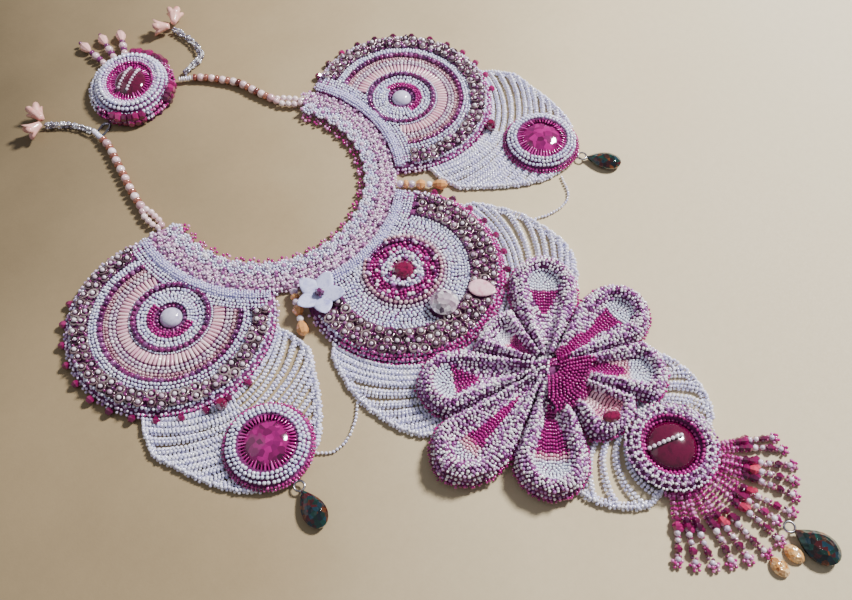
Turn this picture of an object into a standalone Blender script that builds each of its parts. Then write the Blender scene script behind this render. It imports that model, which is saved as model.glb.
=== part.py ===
"""A beaded bib necklace, lying flat: collar, three fans, nets, a flower, a pendant and fringe.

Units are metres, +Z is up and the necklace lies on z = 0. The model is laid out round the
centre of the throat opening, with the clasp towards +Y and the pendant towards -Y, and is
then moved so that the middle of its underside is the origin.
"""
import math

import bmesh
import bpy
from mathutils import Matrix, Vector

# Clearances
GAP = 0.0003
FLOOR = 0.0

# Collar
COLLAR_INNER_RADIUS = 0.048
COLLAR_WIDTH = 0.0140
COLLAR_THICKNESS = 0.0030
COLLAR_END_ANGLE = 22.0
COLLAR_SCALLOPS = 26
SCALLOP_DEPTH = 0.0014
COLLAR_HOLES = 24
COLLAR_HOLE_WIDTH = 0.0024
COLLAR_HOLE_LENGTH = 0.0034

# Fans
FAN_RADIUS = 0.0462
FAN_STANDOFF = 0.022
FAN_CLEARANCE = 0.01287
FAN_HEIGHT = 0.0054
FAN_EDGE_HEIGHT = 0.0017
FAN_STEPS = 30
STONE_SEAT_HEIGHT = 0.0030
STONE_SEAT_MARGIN = 0.0012
CABOCHON_RADIUS = 0.0050
CABOCHON_HEIGHT = 0.0042
CENTRE_STONE_HEIGHT = 0.0036

# Nets
NET_THICKNESS = 0.0016
SIDE_NET_REACH = 0.0485
SIDE_NET_SPREADS = {"left": 46.0, "right": 49.0}
SIDE_NET_GAPS = 7
CENTRE_NET_REACH = 0.034
CENTRE_NET_TIP_ANGLE = 2.0
CENTRE_NET_SPREAD = 80.0
CENTRE_NET_GAPS = 7
PENDANT_NET_REACHES = {"left": 0.0310, "right": 0.0280}
PENDANT_NET_UNDERLAP = 0.0070
PENDANT_NET_STEM_ANGLE = 74.0
PENDANT_NET_SPREADS = {"left": 96.0, "right": 102.0}
PENDANT_NET_GAPS = 6
NET_STRAND_SHARE = 0.42
NET_BORDER = 0.0016
NET_ROOT_SHARE = 0.9
GAP_FIRST = 0.12
GAP_LAST = 0.90

# Medallions
MEDALLION_RADIUS = 0.018
MEDALLION_HEIGHT = 0.0050
MEDALLION_SEAT_HEIGHT = 0.0020
MEDALLION_STONE_RADIUS = 0.0105
MEDALLION_STONE_HEIGHT = 0.0048
MEDALLION_STEPS = 22
SIDE_STEM_TURNS = {"left": 64.6, "right": 62.1}
SIDE_MEDALLION_STANDOFF = 0.0301

# Pear drops
SIDE_DROP_HEADINGS = {"left": -110.0, "right": -66.0}
SIDE_DROP_LENGTH = 0.0175
SIDE_DROP_WIDTH = 0.0100
PENDANT_DROP_LENGTH = 0.0190
PENDANT_DROP_WIDTH = 0.0120
DROP_THICKNESS_SHARE = 0.46
DROP_LOOP_RADIUS = 0.0022
DROP_LOOP_WIRE = 0.0005
DROP_LOOP_OVERLAP = 0.0008

# Flower
FLOWER_STANDOFF = 0.0338
FLOWER_SHIFT = -0.002
PETAL_WIDTH = 0.031
PETAL_HEIGHT = 0.0085
PETAL_EDGE_HEIGHT = 0.0006
PETAL_WALL = 0.0016
HEART_RADIUS = 0.0062
HEART_HEIGHT = 0.0066

# Pendant and fringe
PENDANT_DISTANCE = 0.059
FRINGE_REACH = 0.0330
FRINGE_HEAD = 0.0018
FRINGE_THICKNESS = 0.0026
FRINGE_BEAD_WIDTH = 0.0034
FRINGE_FIRST_ANGLE = -46.0
FRINGE_LAST_ANGLE = -152.0
LEAF_BEAD_LENGTH = 0.0085
LEAF_BEAD_WIDTH = 0.0062
LEAF_BEAD_THICKNESS = 0.0030

# Neck strings, tails, links and the other bead strings
PEARL_RADIUS = 0.0025
PEARL_LENGTH = 0.0048
RONDELLE_RADIUS = 0.0017
RONDELLE_LENGTH = 0.0018
TAIL_RADIUS = 0.0019
LINK_RADIUS = 0.0008
AMBER_LENGTH = 0.0255
AMBER_OFFSET_ANGLE = 2.0
AMBER_BEAD_RADIUS = 0.0024
DANGLE_BEAD_RADIUS = 0.0024
DANGLE_LENGTHS = (0.0195, 0.0215, 0.0235)

# Rosette and clasp
ROSETTE_CENTRE = (0.0028, 0.1000)
ROSETTE_TURN = 50.0
FRILL_HALF_LENGTH = 0.0250
FRILL_HALF_WIDTH = 0.0220
FRILL_THICKNESS = 0.0018
FRILL_WAVES = 24
RIM_HALF_LENGTH = 0.0215
RIM_HALF_WIDTH = 0.0185
RIM_HEIGHT = 0.0060
RIM_SEAT_HEIGHT = 0.0026
ROSETTE_STONE_SHARE = 0.50
ROSETTE_STONE_HEIGHT = 0.0050
CLASP_CREST = 10
RIGHT_STRING_CREST = 19
CLASP_LENGTH = 0.0085
CLASP_WIDTH = 0.0042
CLASP_WIRE = 0.0006

# Trims that lie on the centre fan and flower
LILY_RADIUS = 0.0115
LILY_THICKNESS = 0.0016
LILY_ANGLE = 149.0
LILY_INSET = 0.0067
CLEAR_CRYSTAL_RADIUS = 0.0065
CLEAR_CRYSTAL_HEIGHT = 0.0060
CLEAR_CRYSTAL_ANGLE = -98.0
CLEAR_CRYSTAL_INSET = 0.0197
PINK_LEAF_LENGTH = 0.0130
PINK_LEAF_WIDTH = 0.0090
PINK_LEAF_THICKNESS = 0.0018
PINK_LEAF_ANGLE = -70.0
PINK_LEAF_INSET = 0.0087
FAN_CRYSTAL_RADIUS = 0.0028
FAN_CRYSTAL_TURNS = {"left": -6.0, "right": 0.0}
FLOWER_CRYSTAL_DISTANCE = 0.0338
FLOWER_CRYSTAL_ANGLE = -97.9
FLOWER_CRYSTAL_LENGTH = 0.0080
FLOWER_CRYSTAL_WIDTH = 0.0050
TAIL_FLOWER_RADIUS = 0.0050
TAIL_FLOWER_LENGTH = 0.0085

# Fan section outside the stone's seat: radius from seat to edge, height above the seat
FAN_SECTION = (
    # outward, rise
    (0.05, 0.70),
    (0.17, 0.25),
    (0.28, 0.85),
    (0.34, 0.25),
    (0.59, 0.25),
    (0.65, 0.85),
    (0.73, 0.35),
    (0.86, 1.00),
    (0.965, 0.25),
)

# Net rims, from the wing's tip at the edge it hangs from to its stem
SIDE_NET_RIM = (
    # angle from stem, reach
    (1.00, 0.00),
    (0.96, 0.13),
    (0.82, 0.36),
    (0.64, 0.48),
    (0.46, 0.66),
    (0.27, 0.86),
    (0.12, 0.96),
    (0.00, 1.00),
)
CENTRE_NET_RIM = (
    (1.00, 0.00),
    (0.95, 0.18),
    (0.85, 0.32),
    (0.69, 0.60),
    (0.57, 0.78),
    (0.49, 0.92),
    (0.41, 1.00),
    (0.28, 1.00),
    (0.12, 0.94),
    (0.00, 0.86),
)
PENDANT_NET_RIM = (
    (1.00, 0.00),
    (0.98, 0.24),
    (0.90, 0.42),
    (0.72, 0.60),
    (0.59, 0.75),
    (0.45, 0.90),
    (0.34, 1.00),
    (0.22, 1.00),
    (0.10, 0.93),
    (0.00, 0.82),
)

# Petals round the flower's centre: direction in degrees, length
PETALS = (
    # name, direction, length
    ("petal_1", 89.0, 0.0330),
    ("petal_2", 36.0, 0.0570),
    ("petal_3", -13.0, 0.0575),
    ("petal_4", -55.0, 0.0515),
    ("petal_5", -89.0, 0.0404),
    ("petal_6", -144.0, 0.0565),
    ("petal_7", -187.0, 0.0660),
    ("petal_8", -223.0, 0.0560),
)
PETAL_OUTLINE = (
    # along the petal, half width
    (0.00, 0.34),
    (0.22, 0.62),
    (0.42, 0.85),
    (0.60, 0.98),
    (0.76, 0.97),
    (0.89, 0.74),
    (0.97, 0.38),
)
PETAL_SECTION = (
    # inward from the edge, height
    (0.00, 0.00),
    (0.13, 0.72),
    (0.34, 1.00),
    (0.60, 0.42),
    (1.00, 0.24),
)
PETAL_SPINE_END = 0.70

# Fringe strands: angle across the fringe, reach
FRINGE_STRANDS = (
    # across, reach
    (0.000, 0.78),
    (0.065, 0.86),
    (0.135, 0.95),
    (0.205, 0.97),
    (0.275, 1.00),
    (0.345, 1.02),
    (0.415, 0.90),
    (0.485, 1.06),
    (0.560, 1.04),
    (0.640, 0.98),
    (0.715, 0.93),
    (0.790, 0.90),
    (0.870, 0.86),
    (0.950, 0.82),
)
FRINGE_BEADS = (
    # along the strand, half width
    (0.34, 0.34),
    (0.48, 0.62),
    (0.60, 0.34),
    (0.78, 0.58),
    (0.89, 0.36),
    (0.96, 0.72),
)
PENDANT_DROP_STRAND = 6
LEAF_BEAD_STRANDS = (7, 8)

# Routes of the bead strings, chosen by hand, from the throat's centre
NECK_STRING_ROUTES = {
    "right": ((0.0296, 0.0773), (0.0350, 0.0679), (0.0394, 0.0575), (0.0406, 0.0455), (0.0430, 0.0335)),
    "left": ((-0.0315, 0.0811), (-0.0356, 0.0706), (-0.0403, 0.0590), (-0.0446, 0.0486), (-0.0486, 0.0355)),
}
TAIL_ROUTES = {
    "right": ((0.0345, 0.0870), (0.0412, 0.0885), (0.0450, 0.0950), (0.0468, 0.1040), (0.0469, 0.1145)),
    "left": ((-0.0315, 0.1000), (-0.0345, 0.1065), (-0.0385, 0.1115), (-0.0420, 0.1160)),
}

# Route of each link between its two nets: share of the way, sag as a share of the span
LINK_ROUTES = {
    "right": ((0.173, -0.187), (0.429, -0.303), (0.701, -0.286)),
    "left": ((0.219, -0.005), (0.505, -0.136), (0.788, -0.134)),
}
LINK_START_SHARE = 0.36
LINK_END_SHARE = 0.80

# Places worked out from the sizes above
COLLAR_OUTER_RADIUS = COLLAR_INNER_RADIUS + COLLAR_WIDTH
FAN_ORBIT = COLLAR_OUTER_RADIUS + FAN_STANDOFF
FAN_SPREAD = 2 * math.degrees(math.asin((FAN_RADIUS + FAN_CLEARANCE / 2) / FAN_ORBIT))
SIDE_MEDALLION_DISTANCE = FAN_RADIUS + SIDE_MEDALLION_STANDOFF
FLOWER_DISTANCE = FAN_RADIUS + FLOWER_STANDOFF
NET_TOP = FLOOR + NET_THICKNESS + GAP
FAN_TOP = FLOOR + FAN_HEIGHT + GAP


def polar(centre, radius, degrees):
    """A point at a distance and direction from another."""
    angle = math.radians(degrees)
    return (centre[0] + radius * math.cos(angle), centre[1] + radius * math.sin(angle))


FAN_CENTRES = {
    "left": polar((0, 0), FAN_ORBIT, -90.0 - FAN_SPREAD),
    "centre": polar((0, 0), FAN_ORBIT, -90.0),
    "right": polar((0, 0), FAN_ORBIT, -90.0 + FAN_SPREAD),
}
SIDES = {"left": -1, "right": 1}
SIDE_STEMS = {side: -90.0 + SIDES[side] * (FAN_SPREAD - SIDE_STEM_TURNS[side]) for side in SIDES}
MEDALLION_CENTRES = {
    side: polar(FAN_CENTRES[side], SIDE_MEDALLION_DISTANCE, SIDE_STEMS[side]) for side in SIDES
}
FLOWER_CENTRE = (FLOWER_SHIFT, FAN_CENTRES["centre"][1] - FLOWER_DISTANCE)
PENDANT_CENTRE = (0.0, FLOWER_CENTRE[1] - PENDANT_DISTANCE)


def clear_scene():
    for item in list(bpy.data.objects):
        bpy.data.objects.remove(item, do_unlink=True)


def new_collection(name):
    collection = bpy.data.collections.new(name)
    bpy.context.scene.collection.children.link(collection)
    return collection


def new_material(name, colour, roughness, metallic=0.0):
    material = bpy.data.materials.new(name)
    material.use_nodes = True
    shader = material.node_tree.nodes["Principled BSDF"]
    shader.inputs["Base Color"].default_value = (*colour, 1.0)
    shader.inputs["Roughness"].default_value = roughness
    shader.inputs["Metallic"].default_value = metallic
    material.diffuse_color = (*colour, 1.0)
    return material


clear_scene()
PARTS = new_collection("bib_necklace")
CUTTERS = new_collection("cutters")
MATERIALS = {
    "seed_lilac": new_material("seed_lilac", (0.72, 0.62, 0.74), 0.35),
    "fan_beads": new_material("fan_beads", (0.48, 0.33, 0.42), 0.35),
    "net_white": new_material("net_white", (0.86, 0.87, 0.92), 0.45),
    "magenta_glass": new_material("magenta_glass", (0.45, 0.01, 0.22), 0.10),
    "white_stone": new_material("white_stone", (0.85, 0.82, 0.84), 0.15),
    "dark_crystal": new_material("dark_crystal", (0.03, 0.05, 0.06), 0.08),
    "clear_glass": new_material("clear_glass", (0.75, 0.68, 0.70), 0.08),
    "pink_lucite": new_material("pink_lucite", (0.80, 0.42, 0.42), 0.30),
    "white_lucite": new_material("white_lucite", (0.88, 0.86, 0.92), 0.35),
    "amber_glass": new_material("amber_glass", (0.72, 0.36, 0.12), 0.12),
    "peach_pearl": new_material("peach_pearl", (0.85, 0.68, 0.58), 0.25),
    "fringe_beads": new_material("fringe_beads", (0.52, 0.04, 0.20), 0.25),
    "silver": new_material("silver", (0.75, 0.75, 0.76), 0.25, 1.0),
}


def add_object(name, data, material, collection=PARTS):
    item = bpy.data.objects.new(name, data)
    collection.objects.link(item)
    data.materials.append(MATERIALS[material])
    return item


def make_cutter(item):
    """A shape that only cuts: kept out of the model."""
    item.hide_render = True
    item.display_type = "WIRE"
    return item


def smooth_edges(item, degrees=50.0):
    item.data.shade_smooth()
    item.data.set_sharp_from_angle(angle=math.radians(degrees))


def mesh_of(item):
    """The evaluated shape of an object as a mesh with its loose caps welded."""
    bpy.context.view_layer.update()
    shape = item.evaluated_get(bpy.context.evaluated_depsgraph_get())
    mesh = bpy.data.meshes.new_from_object(shape)
    work = bmesh.new()
    work.from_mesh(mesh)
    bmesh.ops.remove_doubles(work, verts=work.verts, dist=0.00001)
    bmesh.ops.recalc_face_normals(work, faces=work.faces)
    work.to_mesh(mesh)
    work.free()
    return mesh


def turned(name, section, steps, centre, base, material, squash=1.0, turn=0.0):
    """A turned solid: a section that starts on the axis at the top and runs down outside."""
    mesh = bpy.data.meshes.new(name)
    edges = [(i, i + 1) for i in range(len(section) - 1)]
    mesh.from_pydata([(radius, 0.0, height) for radius, height in section], edges, [])
    item = add_object(name, mesh, material)
    screw = item.modifiers.new("turn", "SCREW")
    screw.steps = steps
    screw.render_steps = steps
    screw.use_merge_vertices = True
    screw.merge_threshold = 0.00002
    item.data = mesh_of(item)
    item.modifiers.clear()
    item.data.transform(Matrix.Diagonal((1.0, squash, 1.0, 1.0)))
    item.location = (centre[0], centre[1], base)
    item.rotation_euler = (0.0, 0.0, math.radians(turn))
    return item


def plate(name, outlines, base, thickness, material):
    """A flat outline with holes, as a filled 2D curve."""
    curve = bpy.data.curves.new(name, "CURVE")
    curve.dimensions = "2D"
    curve.fill_mode = "BOTH"
    curve.extrude = thickness / 2
    for outline in outlines:
        spline = curve.splines.new("POLY")
        spline.points.add(len(outline) - 1)
        for point, place in zip(spline.points, outline):
            point.co = (place[0], place[1], 0.0, 1.0)
        spline.use_cyclic_u = True
    item = add_object(name, curve, material)
    item.location = (0.0, 0.0, base + thickness / 2)
    return item


def tube(name, points, radii, material, sides_step=3, closed=False):
    """A round tube through points, whose radius follows a list."""
    unit = 0.001
    curve = bpy.data.curves.new(name, "CURVE")
    curve.dimensions = "3D"
    curve.bevel_depth = unit
    curve.bevel_resolution = sides_step
    curve.use_fill_caps = not closed
    spline = curve.splines.new("POLY")
    spline.points.add(len(points) - 1)
    for point, place, radius in zip(spline.points, points, radii):
        point.co = (*place, 1.0)
        point.radius = radius / unit
    spline.use_cyclic_u = closed
    return add_object(name, curve, material)


def smooth_path(points, step):
    """Evenly spaced points along a smooth curve through a few chosen ones."""
    knots = [Vector(point) for point in points]
    knots = [2 * knots[0] - knots[1]] + knots + [2 * knots[-1] - knots[-2]]
    fine = []
    samples = 24
    for i in range(1, len(knots) - 2):
        before, start, end, after = knots[i - 1:i + 3]
        for k in range(samples):
            t = k / samples
            fine.append(0.5 * (2 * start + (end - before) * t
                               + (2 * before - 5 * start + 4 * end - after) * t ** 2
                               + (3 * start - before - 3 * end + after) * t ** 3))
    fine.append(knots[-2])
    lengths = [0.0]
    for first, second in zip(fine, fine[1:]):
        lengths.append(lengths[-1] + (second - first).length)
    places = [lengths[-1] * share for share in step(lengths[-1])]
    path = []
    for place in places:
        index = max(k for k in range(len(lengths)) if lengths[k] <= place + 1e-12)
        index = min(index, len(fine) - 2)
        span = lengths[index + 1] - lengths[index]
        path.append(fine[index].lerp(fine[index + 1], (place - lengths[index]) / span))
    return path


def bead_string(name, points, pearl, rondelle, material):
    """Pearls with rondelles between them along a route, as one closed body."""
    pearl_radius, pearl_length = pearl
    rondelle_radius, rondelle_length = rondelle
    pitch = pearl_length + rondelle_length
    marks = []

    def shares(length):
        count = max(2, round((length - rondelle_length) / pitch))
        stretch = length / (count * pitch + rondelle_length)
        for k in range(count):
            start = k * pitch
            marks.append((start, rondelle_radius))
            marks.append((start + rondelle_length, rondelle_radius))
            marks.append((start + rondelle_length + 0.28 * pearl_length, pearl_radius))
            marks.append((start + rondelle_length + 0.72 * pearl_length, pearl_radius))
        marks.append((count * pitch, rondelle_radius))
        marks.append((count * pitch + rondelle_length, rondelle_radius))
        return [place * stretch / length for place, radius in marks]

    path = smooth_path([(x, y, pearl_radius) for x, y in points], shares)
    return tube(name, path, [radius for place, radius in marks], material)


def make_collar():
    """The pierced band round the throat, scalloped on its inner edge."""
    first = -180.0 - COLLAR_END_ANGLE
    sweep = 180.0 + 2 * COLLAR_END_ANGLE
    outer = []
    inner = []
    steps = COLLAR_SCALLOPS * 2
    for k in range(steps + 1):
        angle = first + sweep * k / steps
        scallop = SCALLOP_DEPTH * (k % 2)
        outer.append(polar((0, 0), COLLAR_OUTER_RADIUS, angle))
        inner.append(polar((0, 0), COLLAR_INNER_RADIUS + SCALLOP_DEPTH - scallop, angle))
    outlines = [outer + inner[::-1]]
    middle = COLLAR_INNER_RADIUS + COLLAR_WIDTH / 2
    for k in range(COLLAR_HOLES):
        centre = first + sweep * (k + 0.5) / COLLAR_HOLES
        half_turn = math.degrees(COLLAR_HOLE_WIDTH / 2 / middle)
        half_length = COLLAR_HOLE_LENGTH / 2
        outlines.append([
            polar((0, 0), middle - half_length, centre),
            polar((0, 0), middle, centre + half_turn),
            polar((0, 0), middle + half_length, centre),
            polar((0, 0), middle, centre - half_turn),
        ])
    return plate("collar", outlines, FLOOR, COLLAR_THICKNESS, "seed_lilac")


def make_fan(side, throat_cutter):
    """A domed round fan with raised bead rings, cut back where the collar runs."""
    seat = CABOCHON_RADIUS + STONE_SEAT_MARGIN
    rise = FAN_HEIGHT - STONE_SEAT_HEIGHT
    section = [(0.0, STONE_SEAT_HEIGHT), (seat, STONE_SEAT_HEIGHT)]
    for outward, height in FAN_SECTION:
        section.append((seat + (FAN_RADIUS - seat) * outward, STONE_SEAT_HEIGHT + rise * height))
    section += [(FAN_RADIUS, FAN_EDGE_HEIGHT), (FAN_RADIUS, 0.0), (0.0, 0.0)]
    fan = turned("fan_" + side, section, FAN_STEPS, FAN_CENTRES[side], FLOOR, "fan_beads")
    cut = fan.modifiers.new("collar bite", "BOOLEAN")
    cut.operation = "DIFFERENCE"
    cut.object = throat_cutter
    smooth_edges(fan)
    return fan


def make_throat_cutter():
    work = bmesh.new()
    radius = COLLAR_OUTER_RADIUS + GAP
    bmesh.ops.create_cone(work, cap_ends=True, segments=96, radius1=radius, radius2=radius,
                          depth=FAN_HEIGHT * 6)
    mesh = bpy.data.meshes.new("throat")
    work.to_mesh(mesh)
    work.free()
    item = add_object("throat_cutter", mesh, "silver", CUTTERS)
    return make_cutter(item)


def domed_stone(name, centre, base, radius, height, steps, material, squash=1.0, turn=0.0):
    """A low domed stone with a flat back."""
    section = [(0.0, height)]
    for angle in (66, 42, 18):
        section.append((radius * math.cos(math.radians(angle)), height * math.sin(math.radians(angle))))
    section += [(radius, 0.0), (0.0, 0.0)]
    stone = turned(name, section, steps, centre, base, material, squash, turn)
    smooth_edges(stone)
    return stone


def cut_stone(name, centre, base, radius, height, material, sides=10, squash=1.0, turn=0.0):
    """A stone with a flat table, a ring of crown facets and a girdle."""
    section = [(0.0, height), (0.55 * radius, height), (radius, 0.42 * height),
               (0.86 * radius, 0.0), (0.0, 0.0)]
    return turned(name, section, sides, centre, base, material, squash, turn)


def net_rim(net, share):
    """Direction and radius of a point on a net's rim, round the piece that the net hangs from."""
    rim = net["rim"]
    place = share * (len(rim) - 1)
    index = min(int(place), len(rim) - 2)
    blend = place - index
    turn = rim[index][0] * (1 - blend) + rim[index + 1][0] * blend
    out = rim[index][1] * (1 - blend) + rim[index + 1][1] * blend
    return net["stem"] + net["spread"] * turn, net["start"] + net["reach"] * out


def net_wing(net):
    """One wing of a net: its rim from tip to stem, its inner edge and the gaps between strands."""
    centre = net["centre"]
    rim_steps = 2 * (len(net["rim"]) - 1)
    rim_line = []
    for k in range(rim_steps + 1):
        angle, radius = net_rim(net, k / rim_steps)
        rim_line.append(polar(centre, radius, angle))
    edge_line = []
    edge_steps = 12
    for k in range(edge_steps):
        edge_line.append(polar(centre, net["start"], net["stem"] + net["spread"] * k / edge_steps))
    stem_reach = net["rim"][-1][1] * net["reach"]
    nearest = net["start"] + NET_BORDER
    steps = net["hole_steps"]
    ways = [GAP_FIRST + (GAP_LAST - GAP_FIRST) * k / (steps - 1) for k in range(steps)]
    holes = []
    for k in range(net["gaps"]):
        low = (k + NET_STRAND_SHARE) / (net["gaps"] + 1)
        high = (k + 1.0) / (net["gaps"] + 1)
        hole = []
        for share, places in ((low, ways), (high, ways[::-1])):
            angle, radius = net_rim(net, share * net["last"])
            root = nearest + (stem_reach - NET_BORDER) * share * NET_ROOT_SHARE
            for way in places:
                out = root + (radius - NET_BORDER - root) * way
                hole.append(polar(centre, max(out, nearest), net["stem"] + (angle - net["stem"]) * way))
        holes.append(hole)
    return rim_line, edge_line, holes


def side_net(side, direction):
    """One wing of the leaf-shaped net below a side fan."""
    return {"centre": FAN_CENTRES[side], "start": FAN_RADIUS + GAP, "stem": SIDE_STEMS[side],
            "spread": direction * SIDE_NET_SPREADS[side], "reach": SIDE_NET_REACH,
            "rim": SIDE_NET_RIM, "gaps": SIDE_NET_GAPS, "hole_steps": 3, "last": 0.72}


def centre_net(side):
    """The net from the centre fan's edge that runs in under the flower."""
    tip = CENTRE_NET_TIP_ANGLE if side == "right" else 180.0 - CENTRE_NET_TIP_ANGLE
    spread = SIDES[side] * CENTRE_NET_SPREAD
    return {"centre": FAN_CENTRES["centre"], "start": FAN_RADIUS + GAP, "stem": tip - spread,
            "spread": spread, "reach": CENTRE_NET_REACH, "rim": CENTRE_NET_RIM,
            "gaps": CENTRE_NET_GAPS, "hole_steps": 4, "last": 0.66}


def pendant_net(side):
    """The net from under the flower that closes in on the pendant's side."""
    stem = PENDANT_NET_STEM_ANGLE if side == "right" else 180.0 - PENDANT_NET_STEM_ANGLE
    return {"centre": PENDANT_CENTRE, "start": MEDALLION_RADIUS - PENDANT_NET_UNDERLAP, "stem": stem,
            "spread": -SIDES[side] * PENDANT_NET_SPREADS[side],
            "reach": PENDANT_NET_REACHES[side] + PENDANT_NET_UNDERLAP, "rim": PENDANT_NET_RIM,
            "gaps": PENDANT_NET_GAPS, "hole_steps": 3, "last": 0.88}


def make_side_net(side):
    first = net_wing(side_net(side, 1))
    second = net_wing(side_net(side, -1))
    outline = first[0] + second[0][-2::-1] + second[1][:0:-1] + first[1]
    plate("net_side_" + side, [outline] + first[2] + second[2], FLOOR, NET_THICKNESS, "net_white")


def make_net(name, net):
    rim_line, edge_line, holes = net_wing(net)
    plate(name, [rim_line + edge_line] + holes, FLOOR, NET_THICKNESS, "net_white")


def make_medallion(name, centre):
    """A round setting: a flat seat inside a raised bead bezel, with its stone."""
    seat = MEDALLION_STONE_RADIUS + GAP
    bezel = MEDALLION_RADIUS - seat
    section = [
        (0.0, MEDALLION_SEAT_HEIGHT),
        (seat, MEDALLION_SEAT_HEIGHT),
        (seat + 0.18 * bezel, MEDALLION_HEIGHT),
        (seat + 0.62 * bezel, 0.84 * MEDALLION_HEIGHT),
        (MEDALLION_RADIUS, 0.34 * MEDALLION_HEIGHT),
        (MEDALLION_RADIUS, 0.0),
        (0.0, 0.0),
    ]
    smooth_edges(turned("medallion_" + name, section, MEDALLION_STEPS, centre, NET_TOP, "seed_lilac"))
    domed_stone("medallion_stone_" + name, centre, NET_TOP + MEDALLION_SEAT_HEIGHT + GAP,
                MEDALLION_STONE_RADIUS - GAP, MEDALLION_STONE_HEIGHT, 16, "magenta_glass")


def pear_half_width(share, width):
    """Half width of a pear at a share of its length from its point."""
    widest = 0.62
    if share < widest:
        return width / 2 * math.sin(math.pi / 2 * share / widest)
    return width / 2 * math.sqrt(1 - ((share - widest) / (1 - widest)) ** 2)


def make_drop(name, tip, heading, length, width):
    """A cut pear drop that lies flat: a girdle outline with a smaller table above and below."""
    thickness = width * DROP_THICKNESS_SHARE
    shares = (0.0, 0.14, 0.30, 0.46, 0.62, 0.80, 0.93, 1.0)
    half = [(length * share, pear_half_width(share, width)) for share in shares]
    outline = half + [(along, -across) for along, across in half[-2:0:-1]]
    middle = (length * 0.6, 0.0)
    work = bmesh.new()
    levels = ((0.0, 0.55), (0.40 * thickness, 1.0), (0.60 * thickness, 1.0), (thickness, 0.55))
    rings = []
    for height, scale in levels:
        ring = []
        for along, across in outline:
            ring.append(work.verts.new((middle[0] + (along - middle[0]) * scale, across * scale, height)))
        rings.append(ring)
    count = len(outline)
    for low, high in zip(rings, rings[1:]):
        for k in range(count):
            work.faces.new((low[k], low[(k + 1) % count], high[(k + 1) % count], high[k]))
    work.faces.new(rings[0])
    work.faces.new(rings[-1])
    bmesh.ops.recalc_face_normals(work, faces=work.faces)
    mesh = bpy.data.meshes.new(name)
    work.to_mesh(mesh)
    work.free()
    item = add_object(name, mesh, "dark_crystal")
    item.location = (tip[0], tip[1], FLOOR)
    item.rotation_euler = (0.0, 0.0, math.radians(heading))
    return item


def make_ring(name, centre, radius, wire, height, material):
    """A small closed wire ring that lies flat."""
    steps = 12
    points = [(*polar(centre, radius, 360.0 * k / steps), height) for k in range(steps)]
    return tube(name, points, [wire] * steps, material, 1, True)


def make_hanging_drop(name, loop, heading, length, width):
    """A drop with its silver loop fused into its point."""
    tip = polar(loop, DROP_LOOP_RADIUS + DROP_LOOP_WIRE - DROP_LOOP_OVERLAP, heading)
    drop = make_drop("drop_" + name, tip, heading, length, width)
    middle = FLOOR + width * DROP_THICKNESS_SHARE / 2
    ring = make_ring("loop_curve", loop, DROP_LOOP_RADIUS, DROP_LOOP_WIRE, middle, "silver")
    fused = make_cutter(add_object("loop_" + name, mesh_of(ring), "silver", CUTTERS))
    bpy.data.objects.remove(ring, do_unlink=True)
    union = drop.modifiers.new("loop", "BOOLEAN")
    union.operation = "UNION"
    union.object = fused
    return drop


def petal_half_width(along, share, side_angle):
    """Half width of a petal, kept clear of the line halfway to the next petal."""
    free = (HEART_RADIUS + GAP + along) * math.tan(math.radians(side_angle)) - GAP
    return min(PETAL_WIDTH / 2 * share, free)


def make_petal(index):
    """A puffed petal: a rolled rim round a trough, lofted from its outline to its spine."""
    name, direction, reach = PETALS[index]
    after = PETALS[(index + 1) % len(PETALS)][1]
    before = PETALS[index - 1][1]
    right_angle = ((direction - after) % 360.0) / 2
    left_angle = ((before - direction) % 360.0) / 2
    length = reach - HEART_RADIUS - 2 * GAP
    outline = []
    for along, share in PETAL_OUTLINE:
        outline.append((along, petal_half_width(along * length, share, left_angle)))
    outline.append((1.0, 0.0))
    for along, share in reversed(PETAL_OUTLINE):
        outline.append((along, -petal_half_width(along * length, share, right_angle)))
    base = NET_TOP
    work = bmesh.new()
    rows = []
    for inward, height in PETAL_SECTION:
        row = []
        for along, across in outline:
            spine = min(along, PETAL_SPINE_END)
            x = (along + (spine - along) * inward) * length
            y = across * (1 - inward)
            z = PETAL_EDGE_HEIGHT + (PETAL_HEIGHT - PETAL_EDGE_HEIGHT) * height
            row.append(work.verts.new((x, y, z)))
        rows.append(row)
    for low, high in zip(rows, rows[1:]):
        for k in range(len(outline) - 1):
            work.faces.new((low[k + 1], low[k], high[k], high[k + 1]))
    bmesh.ops.remove_doubles(work, verts=work.verts, dist=0.00001)
    bmesh.ops.recalc_face_normals(work, faces=work.faces)
    if sum(face.normal.z for face in work.faces) < 0:
        bmesh.ops.reverse_faces(work, faces=work.faces)
    mesh = bpy.data.meshes.new(name)
    work.to_mesh(mesh)
    work.free()
    petal = add_object(name, mesh, "seed_lilac")
    wall = petal.modifiers.new("wall", "SOLIDIFY")
    wall.thickness = PETAL_WALL
    wall.offset = -1.0
    petal.modifiers.new("flat facets", "TRIANGULATE")
    start = polar(FLOWER_CENTRE, HEART_RADIUS + 2 * GAP, direction)
    petal.location = (start[0], start[1], base)
    petal.rotation_euler = (0.0, 0.0, math.radians(direction))
    smooth_edges(petal)
    return petal


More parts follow.
